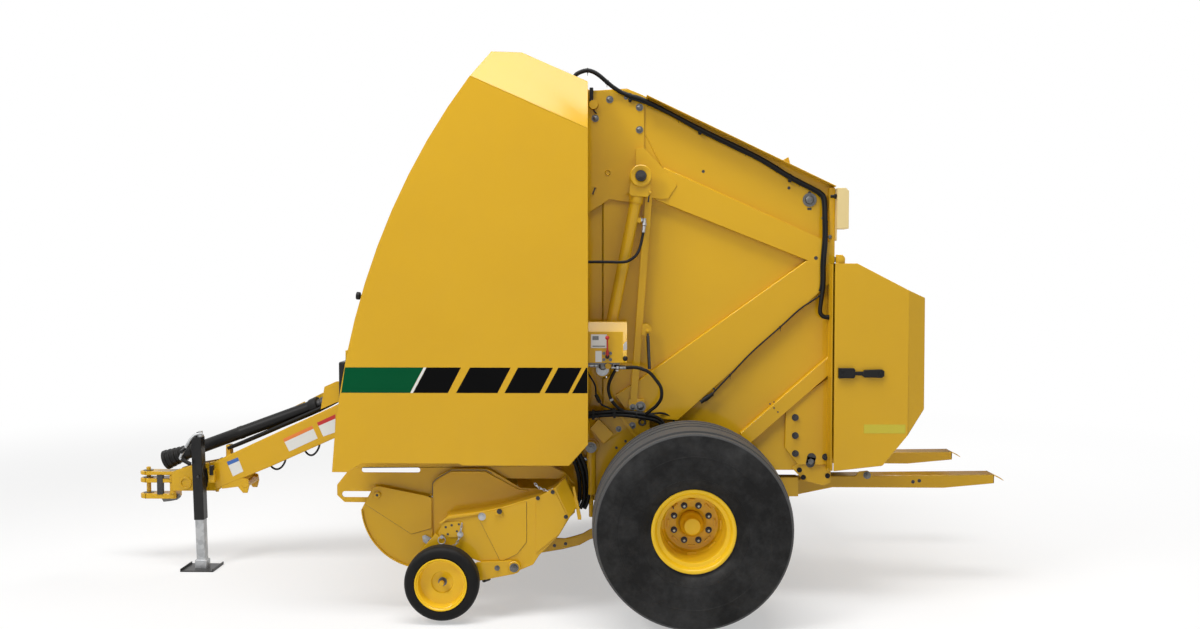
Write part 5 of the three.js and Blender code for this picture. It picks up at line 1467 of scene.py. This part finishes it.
buildDriveCover()
buildCoverFolds()
buildCoverFittings()
for name, side in sides:
    buildShield(name, side)
    buildGaugeArm(name, side)
buildTines()
print("pickup finished")


# drawbar, jack, driveline and ramp
tongueLook = {"face": 0.1, "lift": 0.0008, "bandLift": 0.0005, "bandShare": 0.24}


def buildTongueMarks():
    look = tongueLook
    sheets = {"blue": ([(-2932, 676), (-2860, 706), (-2825, 615), (-2893, 581)], labelBlue),
              "orange": ([(-2565, 826), (-2375, 913), (-2339, 831), (-2525, 745)], labelOrange),
              "red": ([(-2343, 933), (-2222, 988), (-2227, 870), (-2303, 843)], redPlastic)}
    for name, side in sides:
        bm = bmesh.new()
        for outline, _ in sheets.values():
            decal(bm, outline, side, look["face"], look["lift"])
        finishPiece(name + "_tongue_sheets", bm, labelWhite, "frame")
        for key, (outline, material) in sheets.items():     # a plain coloured band along each sheet's top
            upperLeft, upperRight, lowerRight, lowerLeft = (Vector(point) for point in outline)
            band = [upperLeft, upperRight, upperRight.lerp(lowerRight, look["bandShare"]),
                    upperLeft.lerp(lowerLeft, look["bandShare"])]
            bm = bmesh.new()
            decal(bm, [tuple(point) for point in band], side, look["face"] + look["lift"], look["bandLift"])
            finishPiece(name + "_tongue_band_" + key, bm, material, "frame")


def buildTongueParts():
    bm = bmesh.new()
    for outline, near, far in (
            ([(-2579, 900), (-2575, 996), (-2562, 1006), (-2468, 1051), (-2461, 1040), (-2461, 950)], 0.05,
             0.058),
            ([(-2435, 960), (-2435, 1064), (-2347, 1109), (-2334, 1100), (-2350, 1075), (-2314, 1071),
              (-2318, 1010)], 0.05, 0.058),
            ([(-2318, 1019), (-2293, 1165), (-2215, 1200), (-2160, 1200), (-2160, 1078), (-2215, 1064)], -0.1,
             -0.09)):
        addPlate(bm, flat(outline), near, far)
    stand = [(-2975, 560), (-2968, 500), (-2863, 513), (-2831, 473), (-2802, 473), (-2790, 520), (-2796, 561),
             (-2823, 569), (-2911, 585)]
    addPlate(bm, flat(stand), -0.098, -0.088)
    addPlate(bm, flat(stand), 0.088, 0.098)
    addRod(bm, spot(-2814, -100, 530), spot(-2814, 100, 530), 0.022, 28)
    addRod(bm, spot(-3012, -60, 512), spot(-3012, -60, 474), 0.011, 16)
    for side in (-1, 1):
        addTurned(bm, [(0.027, side * 0.0695), (0.027, side * 0.076), (0.041, side * 0.076),
                       (0.043, side * 0.0695)], spot(-3216, 0, 532), steps=36)
    finishPiece("tongue_brackets", bm, yellowPaint, "frame", bevel=0.0015)
    bm = bmesh.new()
    # dark lozenges on the bracket: painted shade inside its slots
    for x, z in ((-2546, 990), (-2492, 1016)):
        addSlug(bm, spot(x, 50, z), (0, -1, 0), 0.036, 0.02, 0.001, radians(20))
    addBolt(bm, spot(-2388, 50, 1058), (0, -1, 0), 0.03)
    addBolt(bm, spot(-3140, -70, 540), (0, -1, 0), 0.016)
    finishPiece("tongue_bolts_and_slot_shade", bm, darkSteel, "frame", smooth=40)
    bm = bmesh.new()       # cables looped under the beam
    for near, far, top in ((-2671, -2567, 676), (-2442, -2345, 768)):
        middle = (near + far) / 2
        addHose(bm, [(near - 14, -60, top + 12), (near, -60, top - 12), (near + 22, -62, top - 42),
                     (middle, -62, top - 54), (far - 22, -62, top - 40), (far, -60, top - 6),
                     (far + 10, -60, top + 36)], 0.0065, sides=12)
    addHose(bm, [(-2950, -24, 752), (-2860, -36, 790), (-2740, -46, 842), (-2620, -50, 894),
                 (-2520, -52, 938), (-2410, -50, 986), (-2300, -48, 1036), (-2215, -44, 1080)], 0.012,
                 sides=12)
    addHose(bm, [(-2950, 24, 750), (-2860, 34, 786), (-2740, 40, 836), (-2620, 42, 888), (-2520, 42, 930),
                 (-2410, 40, 976), (-2300, 40, 1028), (-2215, 38, 1074)], 0.012, sides=12)
    finishPiece("tongue_cables", bm, hoseRubber, "frame", smooth=60)


clevisLook = {"pin": -3488, "rings": (601, 556, 455), "bore": 0.0145, "ring": 0.032, "thick": 0.004}


def buildClevis():
    look = clevisLook
    bm = bmesh.new()
    ring = [(look["bore"], 0), (look["ring"], 0), (look["ring"], look["thick"]),
            (look["bore"], look["thick"])]
    for z in look["rings"]:     # wear rings round the drawbar pin's hole
        addTurnedAlong(bm, ring, spot(look["pin"], 0, z), spot(look["pin"], 0, z + 100), 28)
    bit = [(-3392, 420), (-3330, 436), (-3276, 452), (-3268, 430), (-3290, 412), (-3330, 404), (-3380, 398)]
    addPlate(bm, flat(bit), -0.03, -0.018)
    finishPiece("clevis_wear_parts", bm, greyBolt, "frame", smooth=40)
    bm = bmesh.new()
    addBlock(bm, spot(-3411, -54, 452), spot(-3374, -30, 580))
    finishPiece("clevis_keeper", bm, darkSteel, "frame", smooth=40)


drivelineLook = {"hitchEnd": (-3375, 0, 668), "gearEnd": (-2195, 0, 1101), "ribs": 5, "ribStep": 0.03,
                 "bell": 0.064, "taper": 0.0035}


def buildDriveline():
    look = drivelineLook
    start, far = spot(*look["hitchEnd"]), spot(*look["gearEnd"])
    total = (far - start).length
    bell = [(0, 0.004), (0.04, 0.004), (0.056, 0), (look["bell"], 0.004)]
    for k in range(look["ribs"]):            # ribs of the bell
        a = 0.012 + k * look["ribStep"]
        r = look["bell"] - k * look["taper"]
        bell += [(r, a), (r, a + 0.012), (r - 0.006, a + 0.015), (r - 0.006, a + 0.026)]
    bell += [(0.046, 0.172), (0.046, 0.192), (0.0405, 0.196), (0.0405, 0.52), (0.0425, 0.525), (0.0425, 0.55),
             (0.0405, 0.555), (0.0405, 1.02), (0.046, 1.025), (0.05, 1.04), (0.052, 1.075), (0.046, 1.08),
             (0, 1.08)]
    bm = bmesh.new()
    addTurnedAlong(bm, bell, start, far, 40)
    guard = finishPiece("driveline_guard", bm, blackPlastic, "frame", smooth=25)
    bm = bmesh.new()
    addTurnedAlong(bm, [(0, 1.07), (0.03, 1.07), (0.03, 1.1), (0.036, 1.105), (0.036, 1.14), (0.03, 1.145),
                        (0.028, total - 0.02), (0, total - 0.02)], start, far, 32)
    yoke = finishPiece("driveline_yoke", bm, darkSteel, "frame", smooth=25)
    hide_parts("pto_driveline")
    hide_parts("pto_driveline")


jackLook = {"foot": ((-3181, -261), (-2969, -79)), "sole": 8, "lip": 20, "lipWidth": 6,
            "pins": ((-215, -202), (-138, -125))}


def buildJackParts():
    look = jackLook
    bm = bmesh.new()
    addBlock(bm, spot(-3094, -139, 520), spot(-3048, -128, 640))
    addRod(bm, spot(-3172, -232, 716), spot(-3115, -232, 684), 0.0125, 18)
    addBlock(bm, spot(-3024, -160, 600), spot(-3002, -128, 660))
    finishPiece("jack_grip", bm, blackPlastic, "frame", bevel=0.001)
    bm = bmesh.new()
    addHose(bm, [(-3060, -172, 872), (-3096, -186, 866), (-3122, -202, 842), (-3150, -216, 790),
                 (-3176, -228, 738), (-3180, -231, 722), (-3168, -232, 713)], 0.0085, sides=14)
    addTurnedAlong(bm, [(0, 0), (0.02, 0), (0.02, 0.012), (0.013, 0.016), (0.013, 0.036), (0, 0.036)],
                   spot(-3072, -170, 851), spot(-3072, -170, 950), 24)
    finishPiece("jack_crank", bm, zincSteel, "frame", smooth=50)
    bm = bmesh.new()
    addBlock(bm, spot(-3036, -150, 549), spot(-2995, -120, 631))
    finishPiece("jack_mount_lug", bm, yellowPaint, "frame", bevel=0.003)
    bm = bmesh.new()
    wire = [(-3040, -205, 600), (-3046, -212, 650), (-3034, -214, 690), (-3014, -212, 700),
            (-3002, -206, 684), (-3006, -200, 640)]
    addHose(bm, wire, 0.0022, sides=8)
    for near, far in look["pins"]:
        addRod(bm, spot(-3078, near, 600), spot(-3078, far, 600), 0.008, 16)
    finishPiece("jack_pins", bm, darkSteel, "frame", smooth=40)
    bm = bmesh.new()
    (frontX, leftY), (rearX, rightY) = look["foot"]
    addBlock(bm, spot(frontX, leftY, 0.3), spot(rearX, rightY, look["sole"]))
    for near in (frontX, rearX - look["lipWidth"]):
        addBlock(bm, spot(near, leftY, 2), spot(near + look["lipWidth"], rightY, look["lip"]))
    finishPiece("jack_foot_plate", bm, blackPaint, "jack", bevel=0.002)


rampLook = {"forks": ((-470, -340), (340, 470)), "outer": 470.4, "holes": ((1421, 643), (1383, 636)),
            "blunt": 1872,
            "lip": [(1862, 675.5), (1880, 675.5), (1904, 665.5), (1927.5, 648), (1925, 645), (1902, 661),
                    (1879, 671.5), (1862, 671.5)],
            "gusset": [(1030, 660), (1058, 698), (1108, 703), (1134, 690), (1142, 660)]}


def buildRampForks():
    bm = nodeMesh("bale_ramp")
    end = spot(rampLook["blunt"], 0, 0)
    cut = bmesh.ops.bisect_plane(bm, geom=bm.verts[:] + bm.edges[:] + bm.faces[:], dist=1e-6, plane_co=end,
                                 plane_no=(1, 0, 0), clear_outer=True)
    bmesh.ops.edgeloop_fill(bm, edges=[e for e in cut["geom_cut"] if isinstance(e, bmesh.types.BMEdge)])
    bmesh.ops.recalc_face_normals(bm, faces=bm.faces)
    forks = finishPiece("bale_ramp_forks", bm, yellowPaint, "ramp", bevel=0.006)
    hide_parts("bale_ramp")
    bm = bmesh.new()      # thin lips bent down past the blunt ends, and gussets on top of the forks
    for low, high in rampLook["forks"]:
        addPlate(bm, flat(rampLook["lip"]), low / 1000, high / 1000)
    for low, high in ((-rampLook["outer"], -462), (462, rampLook["outer"])):
        addPlate(bm, flat(rampLook["gusset"]), low / 1000, high / 1000)
    finishPiece("ramp_lips", bm, yellowPaint, "ramp", bevel=0.001)


def buildRampParts():
    bm = bmesh.new()
    # dark discs at the holes and dark strips on the forks: painted shade inside the holes and slots
    for _, side in sides:
        for x, z in rampLook["holes"]:
            face = sidePoint(side, x, z, rampLook["outer"])
            addRod(bm, face, sidePoint(side, x, z, rampLook["outer"] * 0.998), 0.011, 20)
    for low, high in ((-430, -380), (380, 430)):
        addBlock(bm, spot(1395, low, 668), spot(1497, high, 671.5))
    finishPiece("ramp_hole_shade", bm, darkSteel, "ramp", smooth=40)
    bm = bmesh.new()
    for _, side in sides:
        addBolt(bm, sidePoint(side, 1106, 676, rampLook["outer"]), (0, side, 0), 0.028)
    finishPiece("ramp_bolts", bm, greyBolt, "ramp", smooth=40)


buildTongueMarks()
buildTongueParts()
buildClevis()
buildDriveline()
buildJackParts()
buildRampForks()
buildRampParts()
print("front and ramp finished")
